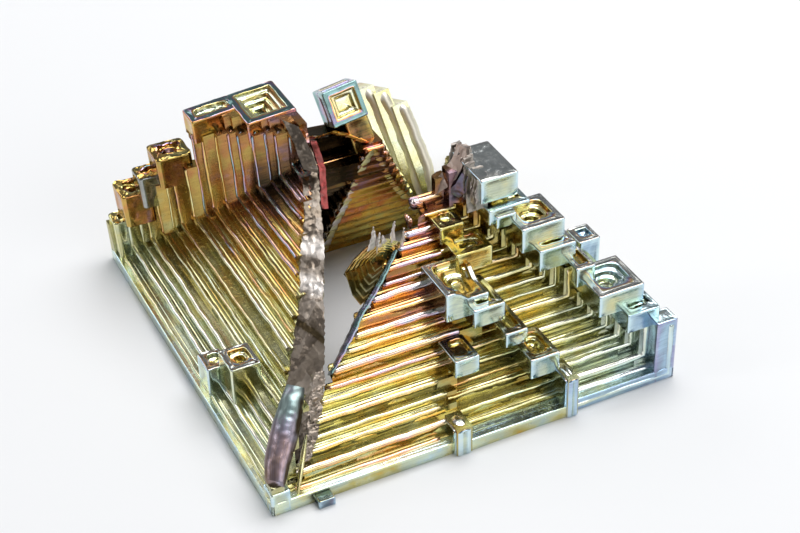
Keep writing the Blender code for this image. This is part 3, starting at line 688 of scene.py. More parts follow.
def middle_rib(rng, number, height, rise):
    """A rib of the right sheet's set-back middle panel, between the two ridges."""
    start, end = at(height, NEAR_RIDGE), at(height, FAR_RIDGE) + 0.3
    if height < RIM_HEIGHT - 0.5 or end - start < 0.8:
        return None
    looks = rib_looks(rng, number, 0.22, 0.14, 0.5, 1.0, 0.5, (0.0, 0.04))
    return rib(height, rise, start, end, None, 60 + number, 0.0, 0.0, MIDDLE_SETBACK, **looks)


def far_rib(rng, number, height, rise):
    """A rib of the right sheet's far panel, which turns up at the corner's diagonal into a column of the fin."""
    broad = 0.12 * smooth((4.0 - height) / 2)
    looks = rib_looks(rng, number, 0.25 + broad, 0.16 + broad, 0.7, 0.5, 0.5, (0.0, -0.05))
    top = min(at(height, RIGHT_FIN), TORN_TOP if height > TORN_FROM else SIDE_Y) + 0.02
    # A little painted shade on the fin columns' faces
    looks.update(upright=0.02, shade=0.15)
    return rib(height, rise, at(height, FAR_RIDGE), SIDE_X - height, top, 90 + number, 0.0, 0.2, **looks)


def left_rib(rng, number, height, rise):
    """A rib of the left sheet, from the broken edge to the corner's diagonal and up as a column of the fin."""
    if height < 0.4:
        return None
    start = at(height + 0.6, LEFT_BREAK) + rng.uniform(0.0, 0.2)
    if start > SIDE_Y - height - 0.4:
        return None
    films = (0.10, 0.13, 0.02) if smooth((height - 4) / 7) > rng.uniform() else (0.0, 0.0, -0.04)
    # The painted highlight on the lips weakens up the sheet
    pale = 0.75 - 0.5 * smooth((height - 5.5) / 4)
    looks = rib_looks(rng, number, 0.24, 0.15, pale, 0.45, 0.85, films)
    # Strong painted shade on the fin columns' faces between their rods
    looks.update(upright=-0.015, shade=1.5, fold=0.06, rods=0.3)
    top = at(height, LEFT_FIN) + 0.02 if height < LEFT_FIN_END else None
    return rib(height, rise, start, SIDE_Y - height, top, 130 + number, 0.0, 0.2, **looks)


def front_sheets():
    """The ribs of the right sheet's three panels and of the left sheet."""
    panel("near_panel_ribs", RIB_METAL, 11, 15.5, RIGHT_PHASE, near_rib)
    panel("middle_panel_ribs", STREAKED_METAL, 12, 6.9, RIGHT_PHASE, middle_rib)
    panel("far_panel_ribs", RIB_METAL, 13, 15.5, RIGHT_PHASE, far_rib)
    panel("left_sheet_ribs", STREAKED_METAL, 14, 17.0, LEFT_PHASE, left_rib, as_left)


def rear_sheets():
    """The two rear sheets' outer sides, ribbed like the front ones but plainer."""
    piece = Piece("rear_sheet_ribs")
    rng = np.random.default_rng(16)
    for number, (height, rise) in enumerate(steps(REAR_TOP, RIGHT_PHASE)):
        looks = rib_looks(rng, number, 0.22, 0.15, 0.5, 0.5, 0.3)
        end = min(SIDE_X - height, REAR_END - REAR_END_LEAN * height)
        add_rib(piece, rib(height, rise, height, end, None, 400 + number, 0.2, 0.2, **looks), as_rear_left)
        if height < REAR_RIGHT_TOP:
            looks = rib_looks(rng, number, 0.22, 0.15, 0.5, 0.5, 0.3)
            end = SIDE_Y - REAR_NOTCH * height
            add_rib(piece, rib(height, rise, height, end, None, 430 + number, 0.2, 0.2, **looks), as_rear_right)
    return piece.finish(RIB_METAL)


# ---------------------------------------------------------------- blocks and pits

EDGE = 0.16
PROUD = 0.03
WALL_DISH = 0.1
STRIDE = 0.4
SIDE_POINTS = 9
ARC_POINTS = 4


def square_ring():
    """A round-cornered square's points in four equal runs: pull to a side, corner arc, place on the side, and share.

    A point of the ring with half widths h and corner radius r is pull * (h - r) + arc * r. Each side's points crowd
    towards its ends by a sine, and each corner is a quarter circle.
    """
    run = np.sin(np.pi / 2 * np.linspace(-1, 1, SIDE_POINTS))
    bend = np.linspace(0, 1, ARC_POINTS + 2)[1:-1]
    angle = np.pi / 2 * bend
    pull = np.concatenate([vectors(1.0, run), np.ones((ARC_POINTS, 2))])
    arc = np.concatenate([vectors(1.0, 0 * run), vectors(np.cos(angle), np.sin(angle))])
    edge = np.concatenate([1 - np.abs(run), 0 * bend])
    share = np.concatenate([0 * run, smooth(bend)])
    parts = []
    for quarter in range(4):
        turn = np.linalg.matrix_power(np.array([[0, 1], [-1, 0]]), quarter)
        parts.append((pull @ turn, arc @ turn, edge, (quarter + share) / 4))
    return [np.concatenate(part) for part in zip(*parts)]


def hopper_block(
    piece, box, levels=0, margin=0.5, seed=0, wall=(MINT, CYAN), top=STEEL, pit=(GOLD, PALE_GOLD), depth=0.45,
    drift=(0.0, 0.0), turn=None, wear=0.04, cap=-0.3, edge=EDGE, bore=EDGE, tint=0.0, shine=0.4
):
    """A block with a stepped square pit: square rings carried up its walls, over its top and down the pit's steps.

    The box is (x, x, y, y, z, z). Each ring is (inset, height). In the pit the inset grows from side to side by a
    quarter of a step, so the steps wind down as a square spiral. The film on the walls runs from its middle value
    to its edge value by the distance to the nearest edge, and the pit's runs from its rim value to its floor
    value. Corners have the edge radius on the walls and the bore radius in the pit. The cap is the tone of the
    top, the shine the strength of the painted highlight along the walls' edges, and the tint is added to all.
    The pit's steps are painted paler on their treads as highlight and darker on their risers and further down as
    shade.
    """
    pull, arc, along, share = square_ring()
    box = np.array(box)
    half = (box[1:4:2] - box[0:4:2]) / 2 + PROUD
    middle = (box[1:4:2] + box[0:4:2]) / 2
    foot, height = box[4], box[5] + PROUD
    rows = [(0.5, foot + 0.1, 0, 0), (0.08, foot, 0, 0), (0.0, foot + 0.08, 0, 0)]
    rows += [(0.0, foot + 0.1 + (height - foot - 0.25) * part, 0, 0) for part in (0.3, 0.55, 0.75, 0.9, 1.0)]
    rows += [(0.015, height - 0.06, 0, 0), (0.05, height - 0.015, 0, 0), (0.12, height, 1, 0)]
    reach = margin - 0.08 if levels else half.min() - 0.15
    rows += [(0.12 + (reach - 0.12) * part, height - 0.012, 1, 0) for part in np.linspace(0.2, 1, 3 if levels else 9)]
    for level in range(levels):
        inset = margin + level * STRIDE
        upper = height - level * depth
        lower = height - (level + 1) * depth + 0.02
        rows += [(inset - 0.07, upper + 0.02, 1 + level, 1), (inset - 0.02, upper, 1.1 + level, 1)]
        rows += [(inset, upper - 0.06, 1.3 + level, 1), (inset + 0.02, lower + 0.08, 1.6 + level, 1)]
        rows += [(inset + 0.08, lower + 0.01, 1.9 + level, 1), (inset + 0.2, lower, 2.0 + level, 1)]
    rows = np.array(rows)
    rows = rows[(rows[:, 0] + STRIDE * rows[:, 3] < half.min() - 0.1) | (rows[:, 2] == 0)]
    inset, level_height, stage, wind = rows.T[..., None]
    size = np.maximum(half - (inset + STRIDE * share * wind)[..., None], 0.04)
    round_off = np.minimum(np.where(wind > 0, bore, edge), size.min(-1))[..., None]
    flat = middle + pull * (size - round_off) + arc * round_off
    flat = flat + np.array(drift) * (np.maximum(stage - 1, 0) * STRIDE)[..., None]
    points = vectors(flat[..., 0], flat[..., 1], level_height)
    worn = grain(points, 0.55, seed)
    points[..., :2] += (wear * worn * (stage > 0))[..., None] * pull
    points[..., 2] += 0.6 * wear * grain(points + 9.0, 0.4, seed + 1) * (stage > 0)
    from_edge = np.minimum(along * half.min(), np.minimum(height - level_height, 4 * (level_height - foot) + 0.2))
    points[..., :2] -= (WALL_DISH * smooth(from_edge / 0.45 - 0.3) * (stage == 0))[..., None] * pull
    on_wall = wall[0] + (wall[1] - wall[0]) * fade(from_edge, 0.4)
    down = np.clip((stage - 1) / max(levels, 1), 0, 1)
    in_pit = pit[0] + (pit[1] - pit[0]) * down + 0.05 * np.sin(stage * 5 + share * 9)
    film = np.where(stage == 0, on_wall, np.where(wind > 0, in_pit, top)) + 0.02 * worn
    # Painted highlight on the pit's treads, painted shade on its risers and deeper down
    pit_light_and_shade = 0.3 - 0.7 * np.abs(np.sin(np.pi * stage)) - 0.15 * down
    # Walls: a painted highlight along their edges, by the shine
    tone = np.where(stage == 0, shine * fade(from_edge, EDGE) - 0.27, np.where(wind > 0, pit_light_and_shade, cap))
    flow = (share * 8 * half.mean(), level_height - inset, seed * 1.3)
    piece.add(turn(points) if turn else points, film, flow, tone + 0.15 * worn + tint)


def blocks(name, material, seed, rows, **shared):
    """A piece of blocks, one to each row (box, levels, margin, looks), with seeds that count up from the first."""
    piece = Piece(name)
    for number, (box, levels, margin, looks) in enumerate(rows):
        hopper_block(piece, box, levels, margin, seed + number, **{**shared, **looks})
    return piece.finish(material)


def domed(box, drop):
    """A turn that rounds a block's top down from its middle by the square of the distance, most at its corners."""
    x, y, top = box[0:2], box[2:4], box[5]
    middle = np.array([sum(x), sum(y)]) / 2
    half = np.array([x[1] - x[0], y[1] - y[0]]) / 2

    def turn(points):
        out = (((points[..., :2] - middle) / half) ** 2).sum(-1)
        near_top = smooth((points[..., 2] - top + 2 * drop) / (2 * drop))
        return points - vectors(0, 0, drop * np.minimum(out, 2) * near_top)

    return turn


def sagged(points):
    """The low front right corner of the largest ridge block: its top sinks by the product of two smooth steps."""
    x, y, z = points[..., 0], points[..., 1], points[..., 2]
    return points - vectors(0, 0, smooth((x - 20.6) / 1.4) * smooth((9.8 - y) / 1.6) * smooth((z - 10.6) / 1.2))


def right_fin_blocks():
    """The staircase of blocks on the right fin, from the corner post to the broken top."""
    teal = dict(pit=(CYAN, MINT + 0.05))
    rows = (
        ((37.9, 40.0, 0.0, 1.9, 0.0, 6.8), 1, 0.5, dict(wall=(SKY, LILAC), top=CYAN, cap=0.1, **teal)),
        ((35.5, 38.8, 1.2, 4.0, 5.8, 7.8), 2, 0.45, dict(wall=(SKY, CYAN), top=CYAN, bore=0.4, **teal)),
        ((33.1, 37.7, 2.3, 7.2, 7.7, 10.0), 4, 0.7, dict(drift=(-0.1, 0.1), bore=0.9, **teal)),
        ((32.4, 34.3, 5.2, 8.4, 9.4, 11.4), 1, 0.4, {}),
        ((29.4, 33.1, 6.7, 9.4, 11.2, 13.4), 2, 0.5, dict(bore=0.5)),
        ((28.1, 32.4, 7.6, 12.1, 13.1, 15.6), 4, 0.65, dict(drift=(-0.15, -0.1), bore=0.8)),
        ((26.6, 28.6, 9.6, 13.4, 15.0, 16.2), 1, 0.4, {}),
        ((26.0, 30.1, 9.9, 12.4, 15.4, 16.9), 1, 0.6, dict(top=CYAN)),
        ((25.6, 29.3, 10.7, 16.4, 17.3, 19.7), 0, 0.5, dict(cap=-0.05, wear=0.06)),
        ((35.8, 38.0, 10.4, 12.9, 0.6, 9.9), 1, 0.5, dict(wall=(SKY, CYAN), pit=(CYAN, SKY))),
    )
    blocks("right_fin_blocks", BLOCK_METAL, 1, rows, wall=(MINT + 0.03, CYAN - 0.02))


def ridge_blocks():
    """The blocks on the two ridges of the right sheet."""
    brass = dict(wear=0.1, wall=(GOLD, OLIVE), top=OLIVE)
    post, lump = (28.3, 29.6, -0.6, 2.4, 0.0, 4.5), (17.2, 18.9, -0.6, 1.9, 0.0, 3.1)
    rows = (
        ((19.7, 23.9, 6.0, 11.0, 9.5, 12.4), 4, 0.5, dict(drift=(0.25, -0.3), bore=0.8, turn=sagged)),
        ((21.9, 25.0, 5.0, 9.8, 8.7, 10.6), 1, 0.6, dict(cap=0.2)),
        ((24.3, 26.5, 3.5, 8.0, 6.7, 8.2), 1, 0.5, dict(bore=0.4)),
        ((25.7, 28.6, 1.4, 5.6, 4.1, 6.2), 2, 0.5, dict(bore=0.5)),
        (post, 0, 0.5, dict(wall=(MINT, SKY), edge=0.5, cap=0.3, turn=domed(post, 0.25))),
        (lump, 0, 0.5, dict(wall=(MINT, CYAN), edge=0.6, cap=0.7, turn=domed(lump, 0.3))),
        ((19.0, 21.4, 3.0, 6.4, 5.6, 7.4), 2, 0.4, dict(bore=0.5)),
        ((22.6, 26.2, 9.6, 12.6, 11.4, 13.4), 2, 0.5, dict(bore=0.5, **brass)),
        ((22.2, 24.6, 12.0, 14.6, 13.2, 15.0), 1, 0.5, dict(bore=0.4, **brass)),
    )
    blocks("ridge_blocks", BLOCK_METAL, 21, rows)


def left_fin_blocks():
    """The staircase outside the left fin and the two small blocks low on the left sheet."""
    warm = dict(top=GOLD, turn=leant, wear=0.22, edge=0.4, bore=0.6, shine=0.15)
    worn = dict(wear=0.08, bore=0.4)
    rust, sand = (COPPER, BRONZE), (OLIVE, GOLD)
    rows = (
        ((0.3, 2.3, 39.5, 41.7, 0.0, 5.6), 1, 0.5, dict(wall=(MINT, PALE_GOLD), pit=sand, **warm)),
        ((1.1, 4.0, 37.4, 40.6, 6.2, 9.7), 2, 0.5, dict(wall=rust, pit=sand, tint=-0.2, **warm)),
        ((2.8, 5.4, 36.6, 39.0, 8.4, 11.8), 1, 0.5, dict(wall=(STEEL, STEEL), pit=rust, tint=-0.3, **warm)),
        ((4.3, 7.6, 34.6, 37.8, 11.4, 14.6), 2, 0.5, dict(wall=rust, pit=rust, tint=-0.3, **warm)),
        ((1.6, 4.4, 12.2, 15.4, 2.0, 6.4), 2, 0.5, dict(wall=(OLIVE, MINT), pit=(GOLD, OLIVE), **worn)),
        ((0.5, 2.6, 15.6, 18.2, 1.0, 4.4), 1, 0.5, dict(pit=(CYAN, OLIVE), **worn)),
    )
    blocks("left_fin_blocks", BLOCK_METAL, 31, rows)


def base_rim():
    """The band round the base: rounded bars, proud of the ribs above them, and the higher block at the front corner."""
    near, far = at(0, NEAR_RIDGE), at(0, FAR_RIDGE)
    pale = dict(wall=(PALE_GOLD, MINT), cap=0.15)
    rows = (
        ((0.0, near, 0.0, 1.2, 0.0, RIM_HEIGHT), 0, 0.5, pale),
        ((near, far, -0.4, 1.2, 0.0, RIM_HEIGHT), 0, 0.5, pale),
        ((far, SIDE_X, 0.0, 0.9, 0.0, RIM_HEIGHT), 0, 0.5, dict(wall=(SKY + 0.04, LILAC + 0.03))),
        ((0.02, 1.0, 0.02, SIDE_Y, 0.0, RIM_HEIGHT), 0, 0.5, dict(top=MINT, cap=0.2)),
        ((3.9, 5.4, -1.0, 0.3, 0.0, 0.8), 0, 0.5, dict(wall=(LILAC, SKY), top=TEAL, tint=-0.4)),
        ((0.0, 1.75, 0.0, 1.75, 0.0, 2.35), 0, 0.5, dict(wall=(PALE_GOLD, CYAN), cap=0.1)),
    )
    blocks("base_rim", RIM_METAL, 41, rows, top=CYAN)


# ---------------------------------------------------------------- breaks

# Edges of the broken end of the left sheet: (x, y, z) up its outer edge and up its inner edge
BREAK_OUTER = ((0.9, 2.3, 1.1), (2.9, 5.4, 3.2), (5.0, 8.3, 5.3), (7.1, 11.3, 7.4), (9.5, 14.7, 9.8))
BREAK_OUTER += ((11.3, 18.7, 11.6), (13.0, 21.2, 13.3), (15.2, 26.5, 15.5), (16.2, 29.8, 17.6))
BREAK_INNER = ((2.7, 2.1, 1.5), (4.8, 3.9, 3.6), (7.1, 5.6, 5.9), (8.9, 8.3, 7.7), (10.5, 11.6, 9.3))
BREAK_INNER += ((12.0, 15.1, 10.8), (13.3, 17.6, 12.1), (14.8, 21.5, 13.6), (16.4, 25.6, 15.2), (17.0, 29.4, 16.8))

# Edges of the smoother upper end of the break, which climbs to the slab
UPPER_OUTER = ((14.5, 24.5, 16.5), (14.3, 25.4, 18.1), (14.1, 26.3, 19.3), (13.9, 27.4, 20.4))
UPPER_INNER = ((15.7, 23.8, 16.1), (15.5, 24.6, 17.8), (15.3, 25.4, 18.9), (15.0, 26.4, 19.9))
RED_LINE = ((17.0, 28.6, 16.5), (16.55, 25.7, 15.2), (15.5, 23.2, 14.3), (14.9, 21.6, 13.7))

# Edges of the right sheet's crumbled end, of the torn crest on the right fin, and of the patch below it
CRUMBLED_INNER = ((3.6, 2.0, 3.0), (4.6, 3.1, 4.2), (5.2, 4.1, 5.2), (6.1, 5.5, 6.6), (7.4, 6.9, 8.0))
CRUMBLED_OUTER = ((4.5, 2.1, 2.9), (5.6, 3.1, 4.0), (6.7, 4.4, 5.2), (7.6, 5.7, 6.4), (8.3, 6.9, 7.8))
CREST_OUTER = ((23.7, 15.9, 17.5), (24.1, 15.7, 18.1), (24.5, 15.6, 18.7))
CREST_OUTER += ((25.0, 15.5, 19.3), (25.5, 15.6, 20.1), (25.9, 15.9, 20.7))
CREST_INNER = ((23.6, 15.3, 16.3), (24.2, 14.7, 17.2), (24.8, 14.1, 18.2))
CREST_INNER += ((25.3, 14.0, 19.1), (25.9, 14.3, 20.1), (26.3, 14.8, 20.7))
PATCH_OUTER = ((24.2, 14.5, 16.8), (24.7, 14.0, 17.8), (25.3, 13.7, 19.0))
PATCH_INNER = ((25.0, 13.7, 16.4), (25.5, 13.2, 17.4), (25.8, 13.2, 18.6))


def broken_beam(piece, lines, count, across, rough, size, seed, film=0.3, tone=0.0):
    """A rough-broken bar between edge lines: rings that join the lines' points, pushed out and in by two grains.

    A ring's side between two lines is straight. Each point then moves along its direction from the ring's middle by
    a coarse and a fine value noise, folded by its absolute value into sharp little crests. The tone may be a
    function of the points.
    """
    edges = [along_line(line, count)[:, None] for line in lines]
    share = np.linspace(0, 1, across, endpoint=False)[:, None]
    rows = np.concatenate([a + (b - a) * share for a, b in zip(edges, edges[1:] + edges[:1])], 1)
    outward = rows - rows.mean(1, keepdims=True)
    outward /= np.linalg.norm(outward, axis=2, keepdims=True) + 1e-6
    crest = 1 - 2 * np.abs(grain(rows, size, seed)) + 0.6 * (1 - 2 * np.abs(grain(rows, size * 0.4, seed + 1)))
    rows = rows + outward * (rough * crest - rough * 0.8)[..., None]
    piece.add(rows, film + 0.02 * grain(rows, 1.5, seed + 2), rows, tone(rows) if callable(tone) else tone)


def beam(name, material, lines, *shape, **looks):
    """A piece of one broken beam."""
    piece = Piece(name)
    broken_beam(piece, lines, *shape, **looks)
    return piece.finish(material)


def backed(outer, inner, inner_back, outer_back):
    """A bar's four edge lines: its face's two edges, and their copies moved behind it."""
    outer, inner = np.array(outer), np.array(inner)
    return [outer, inner, inner + inner_back, outer + outer_back]


def strip_tone(rows):
    """The left break's tone by height: two painted highlights where light glints off it, a dark crack, and a duller
    smooth upper end.
    """
    x, z = rows[..., 0], rows[..., 2]
    # Two painted highlights, bright spots where light glints off the strip
    glint_spots = 1.3 * bell(z, 12.1, 0.4) + 1.1 * bell(z, 10.5, 0.45)
    crack = 1.6 * bell(z + 0.25 * (x - 9.5), 8.5, 0.16)
    return -0.36 + glint_spots - crack - 0.1 * smooth(z - 13) + 0.3 * grain(rows, 0.8, 55)


def left_break():
    """The broken end of the left sheet, a rough strip from its outer edge to its inner edge, and its red edge."""
    piece = Piece("left_sheet_break")
    lines = backed(BREAK_OUTER, BREAK_INNER, (0.3, 1.6, -0.2), (0.5, 1.4, -0.5))
    broken_beam(piece, lines, 220, 18, 0.13, 0.6, 51, tone=strip_tone)
    lines = backed(UPPER_OUTER, UPPER_INNER, (0.5, 1.2, -0.9), (0.5, 1.2, -0.9))
    broken_beam(piece, lines, 60, 14, 0.08, 0.8, 54, tone=-0.35)
    piece.finish(BROKEN_METAL)
    lines = [np.array(RED_LINE) + move for move in ((0, 0, 0), (0.55, -0.27, 0), (0.6, 0.3, -0.2), (0.1, 0.6, -0.2))]
    beam("left_break_red_edge", RED_METAL, lines, 50, 6, 0.05, 0.7, 57, tone=-0.1)


def right_breaks():
    """The right sheet's crumbled end, its fin's torn crest, which rises in a hollow curve, and the dark patch below."""
    lines = backed(CRUMBLED_INNER, CRUMBLED_OUTER, (0.2, 0.9, -0.9), (0.0, 0.9, -0.9))
    beam("right_sheet_break", BROKEN_METAL, lines, 110, 9, 0.2, 0.6, 71)
    lines = backed(CREST_OUTER, CREST_INNER, (0.7, 0.6, -0.3), (0.5, 0.3, -0.3))
    beam("torn_fin", TORN_METAL, lines, 70, 9, 0.05, 1.4, 81)
    lines = backed(PATCH_OUTER, PATCH_INNER, (0.7, 0.6, -0.2), (0.7, 0.6, -0.2))
    beam("torn_patch", SOFT_METAL, lines, 40, 8, 0.06, 0.8, 85, film=INDIGO, tone=-0.6)


def leaning_ring(count):
    """A circle across a climbing edge: its second axis leans forward as it rises."""
    angle = circle(count)
    return vectors(np.cos(angle), -0.6 * np.sin(angle), 0.8 * np.sin(angle))


POST_PATH = ((0.75, 0.75, 1.9), (0.72, 0.75, 3.2), (1.4, 1.75, 4.2), (2.85, 3.4, 5.6), (4.1, 4.8, 6.8), (5.2, 6.1, 7.9))
POST_ACROSS = np.array((1.0, -1.0, 0.0)) / np.sqrt(2)
POST_OUT = np.array((-0.5, -0.5, 0.707))
BLADE_PATH = ((2.5, 0.3, 1.3), (3.2, 1.2, 2.5), (4.1, 2.4, 3.8), (4.8, 3.3, 4.7))


def front_post():
    """The broken front ridge: a smooth rounded spine that climbs from the front corner up the two sheets' meeting.

    Each section is an ellipse across the diagonal, narrowed towards both ends by a sine and twisted slowly.
    """
    piece = Piece("front_post")
    share = np.linspace(0, 1, 90)[:, None]
    angle = circle(28)
    turned = angle + 0.5 * share - 0.2
    across = (0.4 + 0.85 * np.sin(np.pi * (0.06 + 0.82 * share)) ** 0.7) * np.cos(turned)
    out = (0.45 + 0.45 * np.sin(np.pi * share)) * np.sin(turned)
    rows = along_line(POST_PATH, 90)[:, None] + POST_ACROSS * across[..., None] + POST_OUT * out[..., None]
    rows += (0.1 * grain(rows, 1.3, 61) + 0.04 * grain(rows, 0.4, 62))[..., None] * POST_OUT
    rows[..., :2] = np.maximum(rows[..., :2], 0.03)
    film = 0.955 + 0.045 * smooth(2 * share - 0.6) + 0.01 * np.cos(angle)
    # A painted highlight along one side of the post and painted shade round the rest, deepest on one side
    post_highlight_and_shade = 0.75 * bell(angle, 1.2, 0.2) - 0.3 * smooth((angle - 1.9) / 0.7) - 0.9 * smooth((0.7 - angle) / 0.4)
    tone = post_highlight_and_shade * (0.5 + 0.4 * ripple(share * 9, 62, 4.0)) - 0.7 + 0.25 * share
    piece.add(rows, film, (share * 9, angle * 3, 0.0), tone)
    return piece.finish(POST_METAL)


def front_blade():
    """The thin yellow fin beside the front post: a flattened tube, widest in its middle."""
    piece = Piece("front_blade")
    wide = 0.26 * np.sin(np.pi * np.linspace(0.05, 0.95, 40)) ** 0.5
    rows = along_line(BLADE_PATH, 40)[:, None] + leaning_ring(28) * wide[:, None, None]
    piece.add(rows, PALE_GOLD + 0.03, 3 * rows, 0.1)
    return piece.finish(RIB_METAL)


def sheet_edge():
    """The thin dark edge of the right sheet beside the gap: a flat bar that follows the break up the sheet."""
    piece = Piece("right_sheet_edge")
    share = np.linspace(0, 1, 80)[:, None]
    height = 6.6 + 6.1 * share
    rows = vectors(at(height, RIGHT_BREAK) - 0.12 + 0.08 * ripple(share * 12, 63, 3.0), height + 0.15, height + 0.75)
    wave = np.array([np.cos(circle(16)), np.sin(circle(16))])
    across, out = wave / np.abs(wave).max(0) ** 0.8
    wide = 0.1 + 0.16 * np.sin(np.pi * np.clip(share, 0.02, 0.9)) ** 0.5
    rows = rows + np.array((0.92, -0.3, -0.2)) * (across * wide)[..., None]
    rows = rows + np.array((0.0, -0.707, 0.707)) * 0.55 * out[:, None]
    rows = rows + np.array((0.0, 0.707, 0.707)) * 0.05 * grain(rows, 0.7, 64)[..., None]
    # The side that faces up and forward is painted paler, as light falling on it
    piece.add(rows, 1.0 - 0.01 * np.abs(ripple(share * 10, 65)), 2 * rows, -0.75 + 0.3 * np.maximum(out, 0))
    return piece.finish(BLOCK_METAL)


def torn_flakes():
    """Upright flakes on the torn side of the top block: thin ragged sheets side by side, of uneven heights."""
    piece = Piece("torn_flakes")
    rng = np.random.default_rng(87)
    for number, y in enumerate(np.linspace(11.0, 16.1, 10)):
        low = rng.uniform(15.2, 17.0) if number > 2 else 16.6
        high = 19.5 + 0.12 * number * rng.uniform(0.7, 1.0) + rng.uniform(-0.1, 0.15)
        x = 25.35 + rng.uniform(-0.12, 0.12)
        wide = rng.uniform(0.9, 1.5)
        thick = rng.uniform(0.22, 0.4)
        middle = (x + 0.1 * rng.uniform(-1, 1), y + 0.15, (low + high) / 2)
        line = np.array([(x, y, low), middle, (x + 0.25, y + 0.1, high)])
        lines = [line, line + (0.05, thick, 0), line + (wide, thick, 0.1), line + (wide, 0, 0.1)]
        broken_beam(piece, lines, 40, 5, 0.09, 0.45, 300 + number)
    return piece.finish(FLAKE_METAL)


# Outline of the shard behind the right sheet's edge, clockwise from its left tip
SHARD_OUTLINE = ((13.6, 13.9, 11.9), (14.5, 13.8, 13.1), (15.7, 13.8, 14.0), (16.5, 13.7, 14.5), (17.6, 13.6, 14.5))
SHARD_OUTLINE += ((18.6, 13.4, 14.0), (19.3, 13.4, 13.4), (18.8, 13.4, 11.0), (17.0, 14.0, 8.6), (15.1, 14.2, 7.5))
SHARD_OUTLINE += ((14.3, 14.1, 9.0),)
SHARD_FACE = np.array((-0.30, -0.86, 0.42))
SHARD_STEP = 0.14

# The foil's spikes: (foot, tip, width)
SPIKES = (((16.1, 13.4, 13.9), (16.5, 13.7, 16.0), 0.40), ((18.2, 13.3, 13.5), (18.6, 13.7, 15.9), 0.38))
SPIKES += (((17.1, 13.3, 13.6), (17.3, 13.5, 14.9), 0.45), ((19.0, 13.2, 12.9), (19.3, 13.4, 14.3), 0.35))
SPIKES += (((18.7, 13.0, 13.0), (19.3, 13.3, 15.2), 0.22), ((16.7, 13.2, 13.5), (17.0, 13.5, 15.3), 0.25))


def shard():
    """The broken shard: its outline shrinks in steps as it comes forward, so that ribs run parallel to its edges."""
    piece = Piece("shard")
    closed = np.array(SHARD_OUTLINE + SHARD_OUTLINE[:1])
    count = len(SHARD_OUTLINE)
    share = np.linspace(0, count, 12 * count, endpoint=False)
    ring = vectors(*(np.interp(share, np.arange(count + 1), closed[:, axis]) for axis in range(3)))
    middle = ring.mean(0) + (0.6, 0.0, 0.9)
    rows = [(0.55, -1.3), (0.9, -1.0), (1.0, -0.35)]
    for rise in SHARD_STEP * np.arange(6):
        size = 1.0 - rise
        rows += [(size, rise - 0.04), (size - 0.015, rise + 0.07)]
        rows += [(size - 0.05, rise + 0.1), (size - 0.12, rise + 0.08)]
    size, rise = np.array(rows).T[..., None]
    points = middle + (ring - middle) * size[..., None] + SHARD_FACE * rise[..., None]
    points += 0.06 * grain(points, 0.6, 91)[..., None] * SHARD_FACE
    below = size - np.round((size - 1) / SHARD_STEP) * SHARD_STEP - 0.985
    # Painted highlight along each step's edge
    tone = -0.35 + 0.5 * np.clip(1 - np.abs(below) / 0.03, 0, 1) + 0.2 * grain(points, 1.2, 93)
    piece.add(points, OLIVE + 0.015 + 0.05 * grain(points, 1.6, 92), (share, rise * 3, 9.0), tone)
    return piece.finish(RIB_METAL)


def shard_spikes():
    """Bright torn foil on the shard's top: thin ragged sheets that narrow to bent points."""
    piece = Piece("shard_spikes")
    for number, (foot, tip, width) in enumerate(SPIKES):
        foot, tip = np.array(foot), np.array(tip)
        bend = (foot + tip) / 2 + (0.12 * (-1) ** number, 0.0, 0.1)
        side = np.array((width, 0.15 * width, 0.0))
        left = [foot - side, bend - 0.6 * side, tip - (0.03, 0, 0)]
        right = [foot + side, bend + 0.6 * side, tip + (0.03, 0, 0)]
        lines = backed(left, right, (0.02, 0.16, 0.0), (-0.02, 0.16, 0.0))
        broken_beam(piece, lines, 30, 5, 0.07, 0.35, 95 + 3 * number, tone=0.45)
    return piece.finish(FLAKE_METAL)


# ---------------------------------------------------------------- rear parts

WALL_STEP = 1.1
WALL_TOP = 15.9
RIDGE_LEFT = ((19.2, 32.2, 0.5), (19.9, 30.6, 4.6), (20.6, 29.2, 7.8), (21.4, 27.6, 11.8), (22.2, 25.9, 15.5))
RIDGE_RIGHT = ((22.2, 25.9, 15.5), (23.3, 26.8, 13.5), (24.6, 28.0, 10.6), (26.0, 29.0, 8.0), (27.6, 29.9, 5.7))
WALL_EDGE = ((15.9, 28.0, 17.5), (17.6, 28.0, 17.1), (19.2, 28.1, 17.1), (20.7, 28.0, 16.3), (22.2, 27.0, 15.6))
REAR_TILT = (-26.0, -9.0)
KNOB_FOOT = (21.3, 30.2, 17.3)
CURTAIN_FOOT = (28.3, 32.0, 4.2)
CURTAIN_TOPS = (9.6, 11.4, 12.2, 9.0, 7.5, 6.5)


def rear_wall():
    """The far wall inside the hollow: ribs along X whose front steps back to an apex, each shorter than the last."""
    piece = Piece("rear_wall_ribs")
    rng = np.random.default_rng(15)
    for number, height in enumerate(np.arange(0, 15.4, WALL_STEP)):
        share = height / WALL_TOP
        start, end = 18.8 + 3.0 * share, 31.0 - 8.0 * share
        setback = 32.55 - 6.4 * share - height - 0.55 * smooth((number - 5) / 3)
        looks = dict(bead=rng.uniform(0.22, 0.3), shift=rng.uniform(-0.015, 0.015), depth=0.44)
        # The lowest rib takes a stronger painted highlight, the ribs near the apex more painted shade
        looks.update(pale=0.15 if number else 0.35, dark=0.2 if number < 9 else 0.7)
        rows, film, flow, tone = rib(height, WALL_STEP, start, end, None, 200 + number, 0.25, 0.25, setback, **looks)
        # Painted highlights on the ribs' left ends along the ridge
        painted_ridge_highlight = 1.2 * fade(rows[..., 0] - start, 0.25) * (number % 3 != 1) * (tone > -0.25)
        add_rib(piece, (rows, film, flow, tone + painted_ridge_highlight))
    return piece.finish(WALL_METAL)


